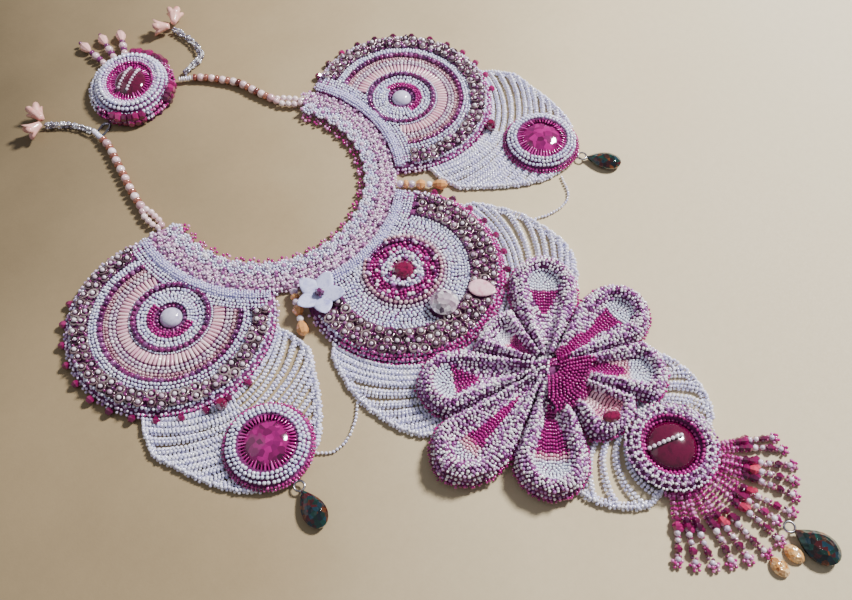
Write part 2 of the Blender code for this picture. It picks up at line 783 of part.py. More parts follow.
def make_flower():
    for index in range(len(PETALS)):
        make_petal(index)
    radius = HEART_RADIUS - GAP
    section = [(0.0, HEART_HEIGHT), (0.5 * radius, 0.9 * HEART_HEIGHT), (radius, 0.55 * HEART_HEIGHT),
               (radius, 0.0), (0.0, 0.0)]
    smooth_edges(turned("flower_heart", section, 12, FLOWER_CENTRE, NET_TOP, "seed_lilac"))
    place = polar(FLOWER_CENTRE, FLOWER_CRYSTAL_DISTANCE, FLOWER_CRYSTAL_ANGLE)
    cut_stone("flower_crystal", place, NET_TOP + PETAL_HEIGHT, FLOWER_CRYSTAL_LENGTH / 2,
              FLOWER_CRYSTAL_WIDTH / 2, "magenta_glass", 10,
              FLOWER_CRYSTAL_WIDTH / FLOWER_CRYSTAL_LENGTH, -40.0)


def strand_angle(across):
    return FRINGE_FIRST_ANGLE + (FRINGE_LAST_ANGLE - FRINGE_FIRST_ANGLE) * across


def fringe_end(index):
    """Radius round the pendant at which a fringe strand ends."""
    return MEDALLION_RADIUS + GAP + FRINGE_HEAD + FRINGE_REACH * FRINGE_STRANDS[index][1]


def make_fringe():
    """Bead strands fanned out from one curved head, as one comb-shaped solid."""
    start = MEDALLION_RADIUS + GAP
    root = start + FRINGE_HEAD
    half = FRINGE_BEAD_WIDTH / 2
    outline = []
    head_ends = (FRINGE_FIRST_ANGLE + 3.0, FRINGE_LAST_ANGLE - 3.0)
    steps = 18
    for k in range(steps + 1):
        angle = head_ends[0] + (head_ends[1] - head_ends[0]) * k / steps
        outline.append(polar(PENDANT_CENTRE, start, angle))
    outline.append(polar(PENDANT_CENTRE, root, head_ends[1]))
    for across, reach in reversed(FRINGE_STRANDS):
        angle = strand_angle(across)
        heading = Vector(polar((0, 0), 1.0, angle))
        side = Vector((-heading.y, heading.x))
        middle = Vector(PENDANT_CENTRE)
        length = FRINGE_REACH * reach
        rows = [(0.0, 0.30)] + list(FRINGE_BEADS)
        for along, width in rows:
            outline.append(tuple(middle + heading * (root + length * along) - side * half * width))
        outline.append(tuple(middle + heading * (root + length)))
        for along, width in reversed(rows):
            outline.append(tuple(middle + heading * (root + length * along) + side * half * width))
    outline.append(polar(PENDANT_CENTRE, root, head_ends[0]))
    plate("fringe", [outline], FLOOR, FRINGE_THICKNESS, "fringe_beads")
    for name, index in zip(("leaf_bead_right", "leaf_bead_left"), LEAF_BEAD_STRANDS):
        heading = strand_angle(FRINGE_STRANDS[index][0])
        middle = polar(PENDANT_CENTRE, fringe_end(index) + GAP + LEAF_BEAD_LENGTH / 2, heading)
        cut_stone(name, middle, FLOOR, LEAF_BEAD_LENGTH / 2, LEAF_BEAD_THICKNESS, "amber_glass",
                  12, LEAF_BEAD_WIDTH / LEAF_BEAD_LENGTH, heading)


def make_drops():
    loop_reach = GAP + DROP_LOOP_RADIUS + DROP_LOOP_WIRE
    for side in SIDES:
        net_end = FAN_RADIUS + GAP + SIDE_NET_REACH - SIDE_MEDALLION_DISTANCE
        loop = polar(MEDALLION_CENTRES[side], max(net_end, MEDALLION_RADIUS) + loop_reach, SIDE_STEMS[side])
        make_hanging_drop(side, loop, SIDE_DROP_HEADINGS[side], SIDE_DROP_LENGTH, SIDE_DROP_WIDTH)
    heading = strand_angle(FRINGE_STRANDS[PENDANT_DROP_STRAND][0])
    loop = polar(PENDANT_CENTRE, fringe_end(PENDANT_DROP_STRAND) + loop_reach, heading)
    make_hanging_drop("pendant", loop, heading, PENDANT_DROP_LENGTH, PENDANT_DROP_WIDTH)


def make_fan_stones():
    seat = FLOOR + STONE_SEAT_HEIGHT + GAP
    for side in SIDES:
        domed_stone("cabochon_" + side, FAN_CENTRES[side], seat, CABOCHON_RADIUS, CABOCHON_HEIGHT, 14,
                    "white_stone")
        place = polar(FAN_CENTRES[side], FAN_RADIUS + GAP + FAN_CRYSTAL_RADIUS,
                      SIDE_STEMS[side] + FAN_CRYSTAL_TURNS[side])
        cut_stone("fan_crystal_" + side, place, NET_TOP, FAN_CRYSTAL_RADIUS, 2 * FAN_CRYSTAL_RADIUS,
                  "magenta_glass")
    cut_stone("centre_stone", FAN_CENTRES["centre"], seat, CABOCHON_RADIUS, CENTRE_STONE_HEIGHT,
              "magenta_glass")


def lobed_outline(centre, radius, lobes, depth, turn):
    """A flower-shaped outline with round lobes."""
    outline = []
    steps = lobes * 6
    for k in range(steps):
        angle = 360.0 * k / steps
        wave = abs(math.cos(math.radians(angle * lobes / 2)))
        outline.append(polar(centre, radius * (1 - depth + depth * wave ** 0.6), angle + turn))
    return outline


def leaf_outline(centre, length, width, heading):
    """A flat leaf with rounded sides and soft points."""
    outline = []
    steps = 14
    for k in range(steps):
        angle = 2 * math.pi * k / steps
        along = length / 2 * math.cos(angle)
        across = width / 2 * math.sin(angle) * abs(math.sin(angle)) ** 0.35
        turn = math.radians(heading)
        outline.append((centre[0] + along * math.cos(turn) - across * math.sin(turn),
                        centre[1] + along * math.sin(turn) + across * math.cos(turn)))
    return outline


def make_trims():
    """The lily, clear crystal and pink leaf that lie on the centre fan."""
    lily = polar(FAN_CENTRES["centre"], FAN_RADIUS - LILY_INSET, LILY_ANGLE)
    plate("lily", [lobed_outline(lily, LILY_RADIUS, 5, 0.5, 20.0)], FAN_TOP, LILY_THICKNESS,
          "white_lucite")
    crystal = polar(FAN_CENTRES["centre"], FAN_RADIUS - CLEAR_CRYSTAL_INSET, CLEAR_CRYSTAL_ANGLE)
    cut_stone("clear_crystal", crystal, FAN_TOP, CLEAR_CRYSTAL_RADIUS, CLEAR_CRYSTAL_HEIGHT, "clear_glass")
    leaf = polar(FAN_CENTRES["centre"], FAN_RADIUS - PINK_LEAF_INSET, PINK_LEAF_ANGLE)
    plate("pink_leaf", [leaf_outline(leaf, PINK_LEAF_LENGTH, PINK_LEAF_WIDTH, PINK_LEAF_ANGLE)],
          FAN_TOP, PINK_LEAF_THICKNESS, "pink_lucite")


def make_amber_dangle(side):
    """A short string of beads between two fans that ends in a cut amber drop."""
    direction = SIDES[side]
    heading = -90.0 + direction * (FAN_SPREAD / 2 - AMBER_OFFSET_ANGLE)
    start = COLLAR_OUTER_RADIUS + GAP
    beads = ((0.00, 0.5), (0.06, 1.0), (0.16, 1.0), (0.22, 0.5), (0.28, 1.1), (0.36, 1.1), (0.40, 0.5),
             (0.46, 0.9), (0.56, 0.9), (0.62, 0.4), (0.70, 1.0), (0.84, 1.25), (0.96, 0.9), (1.00, 0.3))
    height = FLOOR + 1.25 * AMBER_BEAD_RADIUS
    points = [(*polar((0, 0), start + AMBER_LENGTH * along, heading), height) for along, size in beads]
    return tube("amber_" + side, points, [AMBER_BEAD_RADIUS * size for along, size in beads],
                "amber_glass")


def collar_end(side):
    """A point just beyond the middle of a collar end's edge."""
    direction = SIDES[side]
    angle = COLLAR_END_ANGLE if direction > 0 else 180.0 - COLLAR_END_ANGLE
    edge = Vector(polar((0, 0), COLLAR_INNER_RADIUS + COLLAR_WIDTH / 2, angle))
    outward = Vector(polar((0, 0), 1.0, angle + direction * 90.0))
    return tuple(edge + outward * GAP * 2)


def frill_edge(degrees):
    """How far the rosette's frill reaches in one direction."""
    angle = math.radians(degrees - ROSETTE_TURN)
    return 1.0 / math.hypot(math.cos(angle) / FRILL_HALF_LENGTH, math.sin(angle) / FRILL_HALF_WIDTH)


def crest_heading(number):
    """Direction of one crest of the frill from the rosette's centre."""
    crest = math.radians(180.0 * (2 * number - 1) / FRILL_WAVES)
    return ROSETTE_TURN + math.degrees(math.atan2(FRILL_HALF_WIDTH * math.sin(crest),
                                                  FRILL_HALF_LENGTH * math.cos(crest)))


def string_start(side):
    """Where a neck string begins: at the frill on the right, past the clasp on the left."""
    if side == "right":
        heading = crest_heading(RIGHT_STRING_CREST)
        return polar(ROSETTE_CENTRE, frill_edge(heading) + GAP + RONDELLE_RADIUS / 2, heading)
    heading = crest_heading(CLASP_CREST)
    reach = frill_edge(heading) + 3 * GAP + CLASP_LENGTH + 2 * CLASP_WIRE + RONDELLE_RADIUS / 2
    return polar(ROSETTE_CENTRE, reach, heading)


def make_neck_string(side):
    points = [string_start(side), *NECK_STRING_ROUTES[side], collar_end(side)]
    return bead_string("neck_string_" + side, points, (PEARL_RADIUS, PEARL_LENGTH),
                       (RONDELLE_RADIUS, RONDELLE_LENGTH), "peach_pearl")


def bell_flower(name, neck, heading):
    """A small five-petalled bell that lies on its side."""
    work = bmesh.new()
    sides = 10
    bmesh.ops.create_cone(work, cap_ends=True, segments=sides, radius1=TAIL_FLOWER_RADIUS,
                          radius2=TAIL_FLOWER_RADIUS * 0.35, depth=TAIL_FLOWER_LENGTH)
    for vertex in work.verts:
        angle = math.atan2(vertex.co.y, vertex.co.x)
        lobe = 0.80 + 0.20 * math.cos(5 * angle)
        if vertex.co.z < 0:
            vertex.co.x *= lobe
            vertex.co.y *= lobe
    turn = Matrix.Rotation(math.radians(heading), 4, "Z") @ Matrix.Rotation(math.radians(-90.0), 4, "Y")
    bmesh.ops.transform(work, matrix=turn, verts=work.verts)
    lowest = min(vertex.co.z for vertex in work.verts)
    mesh = bpy.data.meshes.new(name)
    work.to_mesh(mesh)
    work.free()
    item = add_object(name, mesh, "pink_lucite")
    middle = polar(neck, TAIL_FLOWER_LENGTH / 2, heading)
    item.location = (middle[0], middle[1], FLOOR - lowest)
    return item


def make_tail(side):
    """A silver rope from the string's start that ends in two bell flowers."""
    start = Vector(string_start(side))
    route = [Vector(place) for place in TAIL_ROUTES[side]]
    way = (route[0] - start).normalized()
    clear = {"left": 3 * GAP, "right": PEARL_LENGTH + GAP}[side]
    route.insert(0, start + way * clear)
    heights = [TAIL_RADIUS] * (len(route) - 1) + [0.76 * TAIL_FLOWER_RADIUS]
    points = smooth_path([(x, y, FLOOR + height) for (x, y), height in zip(route, heights)],
                         lambda length: [k / 11 for k in range(12)])
    for point in points:
        point.z = max(point.z, FLOOR + TAIL_RADIUS)
    tube("tail_" + side, points, [TAIL_RADIUS] * len(points), "silver", 2)
    end = Vector(route[-1])
    heading = math.degrees(math.atan2(route[-1][1] - route[-2][1], route[-1][0] - route[-2][0]))
    for number, swing in ((1, -48.0), (2, 48.0)):
        neck = polar(end, TAIL_RADIUS, heading + swing)
        bell_flower("tail_flower_%s_%d" % (side, number), neck, heading + swing)


def oval_outline(half_length, half_width, waves, depth):
    outline = []
    steps = waves * 2
    turn = math.radians(ROSETTE_TURN)
    for k in range(steps):
        angle = 2 * math.pi * k / steps
        wave = 1.0 - depth * ((k + 1) % 2)
        along = half_length * wave * math.cos(angle)
        across = half_width * wave * math.sin(angle)
        outline.append((ROSETTE_CENTRE[0] + along * math.cos(turn) - across * math.sin(turn),
                        ROSETTE_CENTRE[1] + along * math.sin(turn) + across * math.cos(turn)))
    return outline


def make_rosette():
    """The oval rosette: a frilled base, a raised rim and a domed stone."""
    plate("rosette_base", [oval_outline(FRILL_HALF_LENGTH, FRILL_HALF_WIDTH, FRILL_WAVES, 0.07)],
          FLOOR, FRILL_THICKNESS, "fringe_beads")
    base = FLOOR + FRILL_THICKNESS + GAP
    seat = RIM_HALF_LENGTH * ROSETTE_STONE_SHARE
    band = RIM_HALF_LENGTH - seat
    section = [
        (0.0, RIM_SEAT_HEIGHT),
        (seat, RIM_SEAT_HEIGHT),
        (seat + 0.20 * band, 0.80 * RIM_HEIGHT),
        (seat + 0.68 * band, RIM_HEIGHT),
        (RIM_HALF_LENGTH, 0.45 * RIM_HEIGHT),
        (RIM_HALF_LENGTH, 0.0),
        (0.0, 0.0),
    ]
    squash = RIM_HALF_WIDTH / RIM_HALF_LENGTH
    smooth_edges(turned("rosette_rim", section, 22, ROSETTE_CENTRE, base, "seed_lilac", squash,
                        ROSETTE_TURN))
    domed_stone("rosette_stone", ROSETTE_CENTRE, base + RIM_SEAT_HEIGHT + GAP, seat - 2 * GAP,
                ROSETTE_STONE_HEIGHT, 16, "magenta_glass", squash, ROSETTE_TURN)


def make_dangle(number, length):
    """A short string of pink beads that hangs from a crest of the frill's edge."""
    beads = ((0.00, 0.5), (0.08, 1.0), (0.20, 1.0), (0.28, 0.5), (0.34, 0.9), (0.44, 0.9), (0.50, 0.4),
             (0.66, 0.95), (0.84, 1.15), (0.95, 0.85), (1.00, 0.3))
    heading = crest_heading(number)
    start = frill_edge(heading) + GAP
    height = FLOOR + 1.15 * DANGLE_BEAD_RADIUS
    points = [(*polar(ROSETTE_CENTRE, start + length * along, heading), height) for along, size in beads]
    return tube("dangle_%d" % number, points, [DANGLE_BEAD_RADIUS * size for along, size in beads],
                "pink_lucite")


def make_clasp():
    """The hook that closes the necklace: one long wire loop from the frill to the left string."""
    heading = crest_heading(CLASP_CREST)
    reach = frill_edge(heading) + GAP + CLASP_WIRE + CLASP_LENGTH / 2
    middle = Vector(polar(ROSETTE_CENTRE, reach, heading))
    along = Vector(polar((0, 0), 1.0, heading))
    across = Vector(polar((0, 0), 1.0, heading + 90.0))
    round_end = CLASP_WIDTH / 2
    points = []
    for end in (1, -1):
        for k in range(5):
            angle = math.radians(-90.0 + 45.0 * k)
            place = middle + end * (along * (CLASP_LENGTH / 2 - round_end + round_end * math.cos(angle))
                                    + across * round_end * math.sin(angle))
            points.append((place.x, place.y, FLOOR + CLASP_WIRE))
    return tube("clasp", points, [CLASP_WIRE] * len(points), "silver", 1, True)


def make_link(side):
    """A thin bead string from a centre net's rim to a side net's rim."""
    clear = 2 * GAP + LINK_RADIUS
    angle, radius = net_rim(centre_net(side), LINK_START_SHARE)
    start = polar(FAN_CENTRES["centre"], radius + clear, angle)
    angle, radius = net_rim(side_net(side, -SIDES[side]), LINK_END_SHARE)
    end = polar(FAN_CENTRES[side], radius + clear, angle)
    span = Vector(end) - Vector(start)
    below = Vector((-span.y, span.x)) * SIDES[side]
    route = [start]
    for share, sag in LINK_ROUTES[side]:
        route.append(Vector(start) + span * share + below * sag)
    route.append(end)
    points = smooth_path([(x, y, FLOOR + LINK_RADIUS) for x, y in route],
                         lambda length: [k / 11 for k in range(12)])
    return tube("link_" + side, points, [LINK_RADIUS] * len(points), "net_white", 1)


def move_to_origin():
    """Put the middle of the necklace's underside at the origin."""
    bpy.context.view_layer.update()
    corners = []
    graph = bpy.context.evaluated_depsgraph_get()
    for item in PARTS.objects:
        shape = item.evaluated_get(graph)
        mesh = shape.to_mesh()
        corners += [item.matrix_world @ vertex.co for vertex in mesh.vertices]
        shape.to_mesh_clear()
    low = [min(corner[axis] for corner in corners) for axis in range(3)]
    high = [max(corner[axis] for corner in corners) for axis in range(3)]
    shift = Vector(((low[0] + high[0]) / 2, (low[1] + high[1]) / 2, low[2]))
    for item in list(PARTS.objects) + list(CUTTERS.objects):
        item.location -= shift


def make_necklace():
    make_collar()
    throat_cutter = make_throat_cutter()
    for side in FAN_CENTRES:
        make_fan(side, throat_cutter)
    make_fan_stones()
    for side in SIDES:
        make_side_net(side)
        make_net("net_centre_" + side, centre_net(side))
        make_net("net_pendant_" + side, pendant_net(side))
        make_medallion(side, MEDALLION_CENTRES[side])
        make_amber_dangle(side)
        make_neck_string(side)
        make_tail(side)
        make_link(side)
    make_medallion("pendant", PENDANT_CENTRE)
    make_flower()
    make_fringe()
    make_drops()
    make_trims()
    make_rosette()
    for number, length in enumerate(DANGLE_LENGTHS, 1):
        make_dangle(number, length)
    make_clasp()
    move_to_origin()


make_necklace()
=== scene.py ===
# %% [markdown]
# # A beaded bib necklace
#
# The real piece is bead embroidery: a pierced collar, three round fans, leaf-shaped
# bead nets, a puffed flower, a pendant with a fringe and a rosette clasp. Nearly all
# of it is small glass seeds and pearls on thread, so this lesson builds two trees with
# Geometry Nodes and then lays their beads over the CAD solids, which keep the real
# sizes. The CAD frame is loaded first because every place below comes from it.

# %% Load the CAD frame
import math
import bmesh
import bpy
from mathutils import Matrix, Vector, noise


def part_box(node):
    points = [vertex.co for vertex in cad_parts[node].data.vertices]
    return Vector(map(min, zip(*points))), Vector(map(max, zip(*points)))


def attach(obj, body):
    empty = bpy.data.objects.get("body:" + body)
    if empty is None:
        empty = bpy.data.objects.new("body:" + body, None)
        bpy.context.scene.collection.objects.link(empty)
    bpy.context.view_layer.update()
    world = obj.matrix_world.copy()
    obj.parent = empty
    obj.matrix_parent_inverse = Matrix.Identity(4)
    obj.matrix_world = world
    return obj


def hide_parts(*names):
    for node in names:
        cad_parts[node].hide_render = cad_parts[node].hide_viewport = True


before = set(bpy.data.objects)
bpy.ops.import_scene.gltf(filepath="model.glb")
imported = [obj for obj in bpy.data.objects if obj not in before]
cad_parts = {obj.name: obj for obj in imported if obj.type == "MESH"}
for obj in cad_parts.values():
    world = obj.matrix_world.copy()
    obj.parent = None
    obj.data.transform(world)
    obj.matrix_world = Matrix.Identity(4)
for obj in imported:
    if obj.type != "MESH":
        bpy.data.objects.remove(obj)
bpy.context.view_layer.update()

MM = 0.001
print("CAD solids:", len(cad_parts))

# %% [markdown]
# ## Places
#
# A jeweller works outwards from each stone. So do we: the middle of every round part
# is read from the box of its stone, and all beads are laid round those middles, in
# millimetres and degrees. A few helpers turn such measures into points and back.

# %% Find the middle of each round part
ORIGIN = Vector((0.0, 0.0, 0.0))
THROAT_REACH = 84.0


def middle_of(node):
    low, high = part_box(node)
    return Vector(((low[0] + high[0]) / 2, (low[1] + high[1]) / 2, 0.0))


SIDES = {"left": -1, "right": 1}
FANS = {"left": middle_of("cabochon_left"), "centre": middle_of("centre_stone"),
        "right": middle_of("cabochon_right")}
THROAT = FANS["centre"] + Vector((0.0, THROAT_REACH * MM, 0.0))
MEDALLIONS = {side: middle_of("medallion_stone_" + side) for side in ("left", "right", "pendant")}
PENDANT = MEDALLIONS["pendant"]
FLOWER = middle_of("flower_heart")
ROSETTE = middle_of("rosette_stone")
print("throat", [round(v, 4) for v in THROAT])


# %% Measure from a middle
def spot(centre, radius, degrees, height=0.0):
    """A point at so many millimetres and degrees from a middle."""
    turn = math.radians(degrees)
    return Vector((centre.x + radius * MM * math.cos(turn),
                   centre.y + radius * MM * math.sin(turn), height * MM))


def bearing(centre, point):
    """The direction in degrees from a middle to a point."""
    return math.degrees(math.atan2(point.y - centre.y, point.x - centre.x))


def away(point, centre, distance):
    """True where a point is more than so many millimetres from a middle."""
    return math.hypot(point.x - centre.x, point.y - centre.y) > distance * MM


def blend(table, place):
    """Read a value from a table of (place, value) pairs."""
    for (a, low), (b, high) in zip(table, table[1:]):
        if place <= b:
            return low + (high - low) * max(0.0, (place - a) / (b - a))
    return table[-1][1]


def add_object(name, data):
    """Put a mesh, lamp or camera into the scene under a name."""
    item = bpy.data.objects.new(name, data)
    bpy.context.collection.objects.link(item)
    return item


print("flower from the centre fan:", round((FLOWER - FANS["centre"]).length / MM, 1), "mm")

# %% [markdown]
# ## Camera
#
# The necklace was photographed from above its left side, with the clasp at the far
# left and the fringe at the lower right. A 35 mm lens close to the piece gives the
# same mild perspective.

# %% Set the camera
CAMERA_PLACE = Vector((-0.1552, -0.1327, 0.330))
LOOK_PLACE = Vector((-0.0042, -0.0165, 0.0))
camera_data = bpy.data.cameras.new("camera")
camera_data.lens = 35.49
camera_data.sensor_width = 36.0
camera = add_object("camera", camera_data)
camera.location = FANS["centre"] + CAMERA_PLACE
look = FANS["centre"] + LOOK_PLACE - camera.location
camera.rotation_euler = look.to_track_quat("-Z", "Y").to_euler()
bpy.context.scene.camera = camera
print("camera distance", round(look.length, 3))

# %% [markdown]
# ## Colours
#
# Glass seeds come in mixed lots: one hank holds beads that differ a little in colour.
# So a finish here is a ramp of colours. Every bead carries a random number called
# tone, and a place on the ramp called shade, and the two together pick its colour.
# A stepped ramp has no shades between, so its lot looks freshly mixed. Fine noise on
# Object coordinates clouds the colour, and wears the gloss and the surface.

# %% Colour helpers
BEAD_CLOUDS, BEAD_PITS = 700.0, 1400.0


def tint(red, green, blue):
    """A screen colour turned into the linear one that shaders use."""
    out = []
    for value in (red, green, blue):
        value = value / 255.0
        out.append(value / 12.92 if value <= 0.04045 else ((value + 0.055) / 1.055) ** 2.4)
    return (*out, 1.0)


def link(tree, source, target):
    """Join two sockets."""
    tree.links.new(source, target)


def math_node(tree, operation, first, second):
    node = tree.nodes.new("ShaderNodeMath")
    node.operation = operation
    for socket, value in zip(node.inputs, (first, second)):
        if isinstance(value, (int, float)):
            socket.default_value = value
        else:
            link(tree, value, socket)
    return node.outputs[0]


def new_finish(name):
    material = bpy.data.materials.new(name)
    material.use_nodes = True
    shader = material.node_tree.nodes["Principled BSDF"]
    return material, material.node_tree, shader


def add_noise(tree, scale, detail=3.0, rough=0.5):
    coordinates = tree.nodes.new("ShaderNodeTexCoord")
    clouds = tree.nodes.new("ShaderNodeTexNoise")
    clouds.inputs["Scale"].default_value = scale
    clouds.inputs["Detail"].default_value = detail
    clouds.inputs["Roughness"].default_value = rough
    link(tree, coordinates.outputs["Object"], clouds.inputs["Vector"])
    return clouds


def add_ramp(tree, colours, stepped=False):
    ramp = tree.nodes.new("ShaderNodeValToRGB")
    ramp.color_ramp.interpolation = "CONSTANT" if stepped else "LINEAR"
    points = ramp.color_ramp.elements
    while len(points) < len(colours):
        points.new(0.5)
    for k, colour in enumerate(colours):
        points[k].position = k / len(colours) if stepped else k / (len(colours) - 1)
    for k, colour in enumerate(colours):
        points[k].color = tint(*colour)
    return ramp


def mean_tint(colours):
    return tint(*[sum(colour[k] for colour in colours) / len(colours) for k in range(3)])


def spread_out(tree, source, low, high, first=0.0, last=1.0):
    """Bring a value that runs from first to last to the range from low to high."""
    node = tree.nodes.new("ShaderNodeMapRange")
    for label, value in (("From Min", first), ("From Max", last), ("To Min", low), ("To Max", high)):
        node.inputs[label].default_value = value
    link(tree, source, node.inputs["Value"])
    return node.outputs["Result"]


def add_relief(tree, shader, source, strength, distance):
    relief = tree.nodes.new("ShaderNodeBump")
    relief.inputs["Strength"].default_value = strength
    relief.inputs["Distance"].default_value = distance
    link(tree, source, relief.inputs["Height"])
    link(tree, relief.outputs["Normal"], shader.inputs["Normal"])


def worn_surface(tree, shader, scale, roughness, bump):
    """Uneven gloss and a slightly pitted surface."""
    clouds = add_noise(tree, scale).outputs["Fac"]
    uneven = spread_out(tree, clouds, max(0.02, roughness * 0.7), min(1.0, roughness * 1.35))
    link(tree, uneven, shader.inputs["Roughness"])
    add_relief(tree, shader, clouds, bump, 0.0002)


def clouded(tree, shader, colour, scale, low=0.82, high=1.15):
    """Multiply a colour by soft clouds and send it to the shader."""
    clouds = add_noise(tree, scale, 2.0).outputs["Fac"]
    mix = tree.nodes.new("ShaderNodeVectorMath")
    mix.operation = "SCALE"
    link(tree, colour, mix.inputs[0])
    link(tree, spread_out(tree, clouds, low, high), mix.inputs["Scale"])
    link(tree, mix.outputs[0], shader.inputs["Base Color"])


def set_gloss(shader, metallic, coat, coat_roughness):
    shader.inputs["Metallic"].default_value = metallic
    shader.inputs["Coat Weight"].default_value = coat
    shader.inputs["Coat Roughness"].default_value = coat_roughness


def bead_finish(name, colours, roughness=0.25, metallic=0.0, coat=1.0, spread=1.0, bump=0.25,
                stepped=False):
    """Glass or pearl beads, each with its own colour from the lot."""
    material, tree, shader = new_finish(name)
    tone = tree.nodes.new("ShaderNodeAttribute")
    tone.attribute_name = "tone"
    shade = tree.nodes.new("ShaderNodeAttribute")
    shade.attribute_name = "shade"
    swing = math_node(tree, "MULTIPLY", math_node(tree, "SUBTRACT", tone.outputs["Fac"], 0.5), spread)
    ramp = add_ramp(tree, colours, stepped)
    link(tree, math_node(tree, "ADD", shade.outputs["Fac"], swing), ramp.inputs["Fac"])
    shader.inputs["Base Color"].default_value = mean_tint(colours)
    clouded(tree, shader, ramp.outputs["Color"], BEAD_CLOUDS)
    worn_surface(tree, shader, BEAD_PITS, roughness, bump)
    set_gloss(shader, metallic, coat, 0.08)
    return material


def pattern_finish(name, colours, scale, roughness=0.25, metallic=0.0, coat=0.5, bump=0.3):
    """A larger piece whose colour drifts in clouds, such as a stone or a felt."""
    material, tree, shader = new_finish(name)
    clouds = add_noise(tree, scale, 3.0, 0.6).outputs["Fac"]
    ramp = add_ramp(tree, colours)
    link(tree, spread_out(tree, clouds, 0.0, 1.0, 0.3, 0.7), ramp.inputs["Fac"])
    link(tree, ramp.outputs["Color"], shader.inputs["Base Color"])
    shader.inputs["Base Color"].default_value = mean_tint(colours)
    worn_surface(tree, shader, scale * 4.0, roughness, bump)
    set_gloss(shader, metallic, coat, 0.06)
    return material


def foil_and_glint_finish(name, colours, scale, roughness=0.15, metallic=0.6, bump=0.8):
    """Sharp patches of colour, each tipped its own way: crumpled foil under glass, or painted glints on cut
    glass.
    """
    material, tree, shader = new_finish(name)
    coordinates = tree.nodes.new("ShaderNodeTexCoord")
    cells = tree.nodes.new("ShaderNodeTexVoronoi")
    cells.inputs["Scale"].default_value = scale
    link(tree, coordinates.outputs["Object"], cells.inputs["Vector"])
    split = tree.nodes.new("ShaderNodeSeparateColor")
    link(tree, cells.outputs["Color"], split.inputs[0])
    ramp = add_ramp(tree, colours)
    link(tree, split.outputs[0], ramp.inputs["Fac"])
    link(tree, ramp.outputs["Color"], shader.inputs["Base Color"])
    shader.inputs["Base Color"].default_value = mean_tint(colours)
    add_relief(tree, shader, cells.outputs["Distance"], bump, 0.0006)
    shader.inputs["Roughness"].default_value = roughness
    set_gloss(shader, metallic, 1.0, 0.04)
    return material


print("half grey in linear light:", round(tint(128, 128, 128)[0], 3))

# %% [markdown]
# Every bead, stone and cloth of the necklace gets its own finish. Beads use the lot of
# colours, stones and felt drift in clouds, and foiled glass breaks into sharp patches;
# on the clear crystal and the dark drops such patches are painted glints and flashes.

# %% Mix the finishes
plum_pearl = bead_finish("plum pearl", roughness=0.12, metallic=0.3, colours=(
    (112, 24, 88), (150, 52, 124), (84, 22, 88), (180, 104, 170)))
magenta_seed = bead_finish("magenta seed", roughness=0.1, colours=(
    (120, 0, 84), (176, 4, 128), (148, 0, 108), (212, 70, 170)))
mauve_pearl = bead_finish("mauve pearl", roughness=0.1, colours=(
    (178, 104, 168), (208, 150, 200), (134, 60, 128), (232, 196, 226)))
collar_seed = bead_finish("collar seed", roughness=0.2, coat=0.8, colours=(
    (240, 228, 250), (250, 242, 255), (226, 196, 234), (250, 226, 240), (214, 168, 204),
    (246, 240, 255)))
ribbon_seed = bead_finish("ribbon seed", roughness=0.3, coat=0.5, colours=(
    (214, 214, 250), (230, 228, 255), (192, 188, 234), (222, 210, 244)))
rosy_pearl = bead_finish("rosy pearl", roughness=0.16, colours=(
    (214, 168, 178), (190, 132, 150), (234, 200, 204), (160, 100, 124)))
rose_seed = bead_finish("rose seed", roughness=0.2, colours=(
    (240, 186, 204), (250, 208, 216), (228, 164, 190), (252, 224, 228)))
lilac_seed = bead_finish("lilac seed", roughness=0.12, colours=(
    (228, 212, 250), (244, 236, 255), (212, 180, 236), (244, 216, 246), (176, 104, 180)))
white_seed = bead_finish("white seed", roughness=0.12, colours=(
    (232, 234, 255), (220, 224, 255), (244, 244, 255), (206, 206, 250)))
blue_seed = bead_finish("pale blue seed", roughness=0.12, colours=(
    (232, 232, 255), (250, 248, 255), (216, 216, 252), (238, 232, 255)))
cream_pearl = bead_finish("cream pearl", roughness=0.16, colours=(
    (238, 222, 230), (218, 196, 214), (190, 168, 196), (250, 240, 246)))
peach_pearl = bead_finish("peach pearl", roughness=0.16, colours=(
    (240, 208, 208), (226, 186, 190), (246, 224, 226), (204, 158, 168)))
rose_brown_seed = bead_finish("rose brown seed", roughness=0.12, colours=(
    (120, 24, 84), (176, 84, 132), (90, 14, 66), (222, 168, 196)))
dark_seed = bead_finish("dark seed", roughness=0.14, colours=(
    (84, 26, 78), (124, 46, 110), (56, 18, 58)))
red_crystal = bead_finish("dark red crystal", roughness=0.06, bump=0.05, colours=(
    (84, 0, 52), (122, 0, 74), (58, 0, 40), (156, 14, 98)))
fringe_seed = bead_finish("fringe seed", roughness=0.1, colours=(
    (136, 0, 98), (192, 20, 142), (158, 2, 112), (234, 150, 212), (146, 0, 102)))
coral_crystal = bead_finish("coral crystal", roughness=0.06, bump=0.05, colours=(
    (188, 30, 80), (220, 78, 104), (156, 10, 66)))
bronze_cup = bead_finish("grey bronze", roughness=0.14, metallic=0.6, coat=0.6, colours=(
    (112, 84, 92), (168, 142, 144), (70, 46, 58), (206, 184, 184)))
bright_pearl = bead_finish("bright pearl", roughness=0.12, colours=(
    (244, 232, 246), (222, 198, 222), (252, 246, 252), (178, 140, 168)))
silver_bead = bead_finish("silver bead", roughness=0.1, metallic=0.35, stepped=True, colours=(
    (232, 232, 244), (104, 100, 118), (252, 252, 255), (156, 152, 170)))
copper_bead = bead_finish("copper bead", roughness=0.16, metallic=0.7, coat=0.4, colours=(
    (168, 96, 84), (206, 140, 122), (116, 60, 58)))
amber_bead = bead_finish("amber bead", roughness=0.06, colours=(
    (200, 118, 52), (228, 164, 98), (150, 78, 32)))
salmon_bead = bead_finish("salmon bead", roughness=0.14, colours=(
    (236, 156, 150), (246, 190, 184), (216, 118, 124)))
